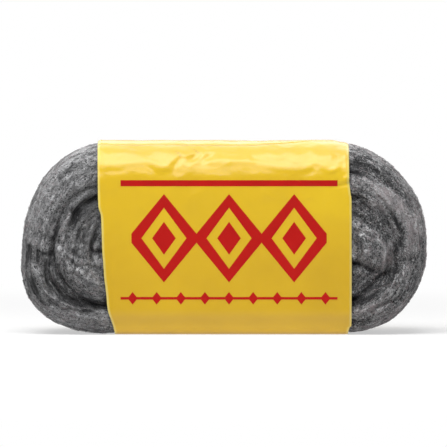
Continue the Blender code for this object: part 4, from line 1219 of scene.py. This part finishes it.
def cut_to_grid(data):
    """Cuts flat faces along a fine grid in X and Z, so that they can follow the film."""
    for direction in (Vector((1, 0, 0)), Vector((0, 0, 1))):
        places = [vert.co.dot(direction) for vert in data.verts]
        for step in range(math.ceil(min(places) / PRINT_GRID), math.ceil(max(places) / PRINT_GRID)):
            everything = data.verts[:] + data.edges[:] + data.faces[:]
            place = direction * (step * PRINT_GRID)
            bmesh.ops.bisect_plane(data, geom=everything, plane_co=place, plane_no=direction, dist=1e-7)


def print_plate(name, faces, ink):
    """Thin coat of ink that follows the film, from faces given in X and Z."""
    data = bmesh.new()
    corners = {}
    for face in faces:
        keys = [(round(x, 7), round(z, 7)) for x, z in face]
        for key, (x, z) in zip(keys, face):
            if key not in corners:
                corners[key] = data.verts.new((x, 0.0, z))
        data.faces.new([corners[key] for key in keys])
    cut_to_grid(data)
    flat = np.array([vert.co[:] for vert in data.verts])
    rise = film_relief(flat[:, 0], flat[:, 2]) * ease(flat[:, 2], *SEAT_EASE)
    front = -(ROLL_DEPTH / 2 + FILM_OFFSET) - rise
    for vert, y in zip(data.verts, front):
        vert.co.y = y + INK_RISE
    raised = bmesh.ops.extrude_face_region(data, geom=data.faces[:])["geom"]
    outer = [item for item in raised if isinstance(item, bmesh.types.BMVert)]
    bmesh.ops.translate(data, verts=outer, vec=(0.0, -2 * INK_RISE, 0.0))
    bmesh.ops.recalc_face_normals(data, faces=data.faces[:])
    mesh = bpy.data.meshes.new("ink_" + name)
    data.to_mesh(mesh)
    data.free()
    mesh.materials.append(ink)
    mesh.shade_smooth()
    mesh.set_sharp_from_angle(angle=PRINT_SHARP_ANGLE)
    piece = add_object("ink_" + name, mesh)
    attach(piece, "root")
    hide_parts("print_" + name)


def rhombus(x, z, width, height):
    return [(x - width / 2, z), (x, z + height / 2), (x + width / 2, z), (x, z - height / 2)]


def neck_places():
    """Where the row of lozenges starts, where each runs into the next, and where the row ends."""
    first = PRINT_CENTRE_X - LOZENGE_WIDTH * LOZENGES / 2
    return [first + LOZENGE_WIDTH * step for step in range(LOZENGES + 1)]


def lozenge_faces():
    slant = math.hypot(LOZENGE_WIDTH, LOZENGE_HEIGHT)
    hole_width = LOZENGE_WIDTH - 2.0 * LOZENGE_STROKE * slant / LOZENGE_HEIGHT
    hole_height = LOZENGE_HEIGHT - 2.0 * LOZENGE_STROKE * slant / LOZENGE_WIDTH
    middle = LOZENGE_CENTRE_HEIGHT
    upper = middle + LOZENGE_NECK / 2
    lower = middle - LOZENGE_NECK / 2
    necks = neck_places()
    faces = []
    for left, right in zip(necks, necks[1:]):
        x = (left + right) / 2
        hole_left, hole_top, hole_right, hole_base = rhombus(x, middle, hole_width, hole_height)
        top = (x, middle + LOZENGE_HEIGHT / 2)
        base = (x, middle - LOZENGE_HEIGHT / 2)
        faces += [
            [(left, lower), (left, upper), hole_left],
            [(left, upper), top, hole_top, hole_left],
            [top, (right, upper), hole_right, hole_top],
            [(right, upper), (right, lower), hole_right],
            [(right, lower), base, hole_base, hole_right],
            [base, (left, lower), hole_left, hole_base],
        ]
    return faces


def beaded_faces():
    left = PRINT_CENTRE_X - BEADED_RULE_LENGTH / 2
    upper = BEADED_RULE_HEIGHT + BEADED_RULE_WIDTH / 2
    meet = BEAD_WIDTH / 2 * (1.0 - BEADED_RULE_WIDTH / BEAD_HEIGHT)
    edge = [(left, upper)]
    for bead in range(BEADS):
        x = left + BEADED_RULE_LENGTH * (bead + 0.5) / BEADS
        edge += [(x - meet, upper), (x, BEADED_RULE_HEIGHT + BEAD_HEIGHT / 2), (x + meet, upper)]
    edge.append((left + BEADED_RULE_LENGTH, upper))
    mirrored = [(x, 2.0 * BEADED_RULE_HEIGHT - z) for x, z in reversed(edge)]
    return [edge + mirrored]


def make_print():
    ink = ink_finish()
    print_plate("lozenges", lozenge_faces(), ink)
    necks = neck_places()
    for number, (left, right) in enumerate(zip(necks, necks[1:]), 1):
        corners = rhombus((left + right) / 2, LOZENGE_CENTRE_HEIGHT, DIAMOND_WIDTH, DIAMOND_HEIGHT)
        print_plate(f"diamond_{number}", [corners], ink)
    left = PRINT_CENTRE_X - UPPER_RULE_LENGTH / 2
    right = PRINT_CENTRE_X + UPPER_RULE_LENGTH / 2
    low = UPPER_RULE_HEIGHT - UPPER_RULE_WIDTH / 2
    high = UPPER_RULE_HEIGHT + UPPER_RULE_WIDTH / 2
    print_plate("upper_rule", [[(left, low), (right, low), (right, high), (left, high)]], ink)
    print_plate("beaded_rule", beaded_faces(), ink)


# Camera, light and floor


def make_camera():
    data = bpy.data.cameras.new("camera")
    camera = add_object("camera", data)
    bpy.context.scene.camera = camera
    away = CAMERA_DISTANCE * math.cos(CAMERA_ELEVATION)
    camera.location = (AIM_X, -away, AIM_HEIGHT + CAMERA_DISTANCE * math.sin(CAMERA_ELEVATION))
    camera.rotation_euler = (math.pi / 2 - CAMERA_ELEVATION, 0, 0)
    data.lens = data.sensor_width * CAMERA_DISTANCE / FRAME_WIDTH
    data.clip_end = 50


def seen_directly(tree):
    """1 for the camera and for what it sees by reflection or through glass, 0 for other light."""
    rays = node(tree, "ShaderNodeLightPath").outputs
    pair = maths(tree, "MAXIMUM", rays["Is Camera Ray"], rays["Is Glossy Ray"])
    return maths(tree, "MAXIMUM", pair, rays["Is Transmission Ray"])


def softbox(name, size, energy, place, aim):
    lamp = bpy.data.lights.new(name, "AREA")
    lamp.shape = "RECTANGLE"
    lamp.size, lamp.size_y = size
    lamp.energy = energy
    made = add_object(name, lamp)
    made.location = place
    made.rotation_euler = (Vector(aim) - Vector(place)).to_track_quat("-Z", "Y").to_euler()
    return made


def make_light():
    world = bpy.data.worlds.new("studio")
    bpy.context.scene.world = world
    world.use_nodes = True
    tree = world.node_tree
    strength = map_range(tree, seen_directly(tree), {"To Min": SKY_LIGHT, "To Max": 1.0})
    fill_inputs(tree, tree.nodes["Background"], {"Color": (1, 1, 1, 1), "Strength": strength})
    softbox("key", size=(0.9, 0.9), energy=16.0, place=(-0.20, -0.62, 1.05), aim=(0.0, 0.0, 0.04))
    # Broad card overhead and narrow strip in front, which only the gloss and its creases catch
    card = softbox("card", size=(1.8, 2.5), energy=44.0, place=(0.0, 0.35, 0.98), aim=(0.0, 0.35, 0.0))
    card.visible_diffuse = False
    strip = softbox("strip", size=(1.4, 0.10), energy=5.0, place=(-0.25, -1.1, 0.62), aim=(0.0, 0.0, 0.05))
    strip.visible_diffuse = False


def make_floor():
    """Pale floor that shows white to the camera, less the object's shadow near it."""
    finish, tree, shader = new_finish("floor", {
        "Base Color": (FLOOR_GREY, FLOOR_GREY, FLOOR_GREY, 1), "Roughness": 0.9, "Specular IOR Level": 0.0,
        "Emission Color": (1, 1, 1, 1)})
    seen = seen_directly(tree)
    glow = map_range(tree, seen, {"To Min": FLOOR_LIGHT, "To Max": 1 - FLOOR_GREY})
    fill_inputs(tree, shader, {"Emission Strength": glow})
    place = node(tree, "ShaderNodeTexCoord").outputs["Object"]
    distance = node(tree, "ShaderNodeVectorMath", {0: place}, operation="LENGTH").outputs["Value"]
    fade = map_range(tree, distance, FLOOR_FADE, interpolation_type="SMOOTHSTEP")
    white = node(tree, "ShaderNodeEmission").outputs[0]
    mix = {0: maths(tree, "MULTIPLY", fade, seen), 1: shader.outputs[0], 2: white}
    mixed = node(tree, "ShaderNodeMixShader", mix).outputs[0]
    fill_inputs(tree, tree.nodes["Material Output"], {"Surface": mixed})
    far = FLOOR_SIZE / 2
    corners = [(-far, -far, 0), (far, -far, 0), (far, far, 0), (-far, far, 0)]
    mesh_object("floor", corners, [(0, 1, 2, 3)], finish)


bpy.context.scene.view_settings.view_transform = "Standard"
make_camera()
make_light()
make_floor()
make_wool()
make_film()
make_print()
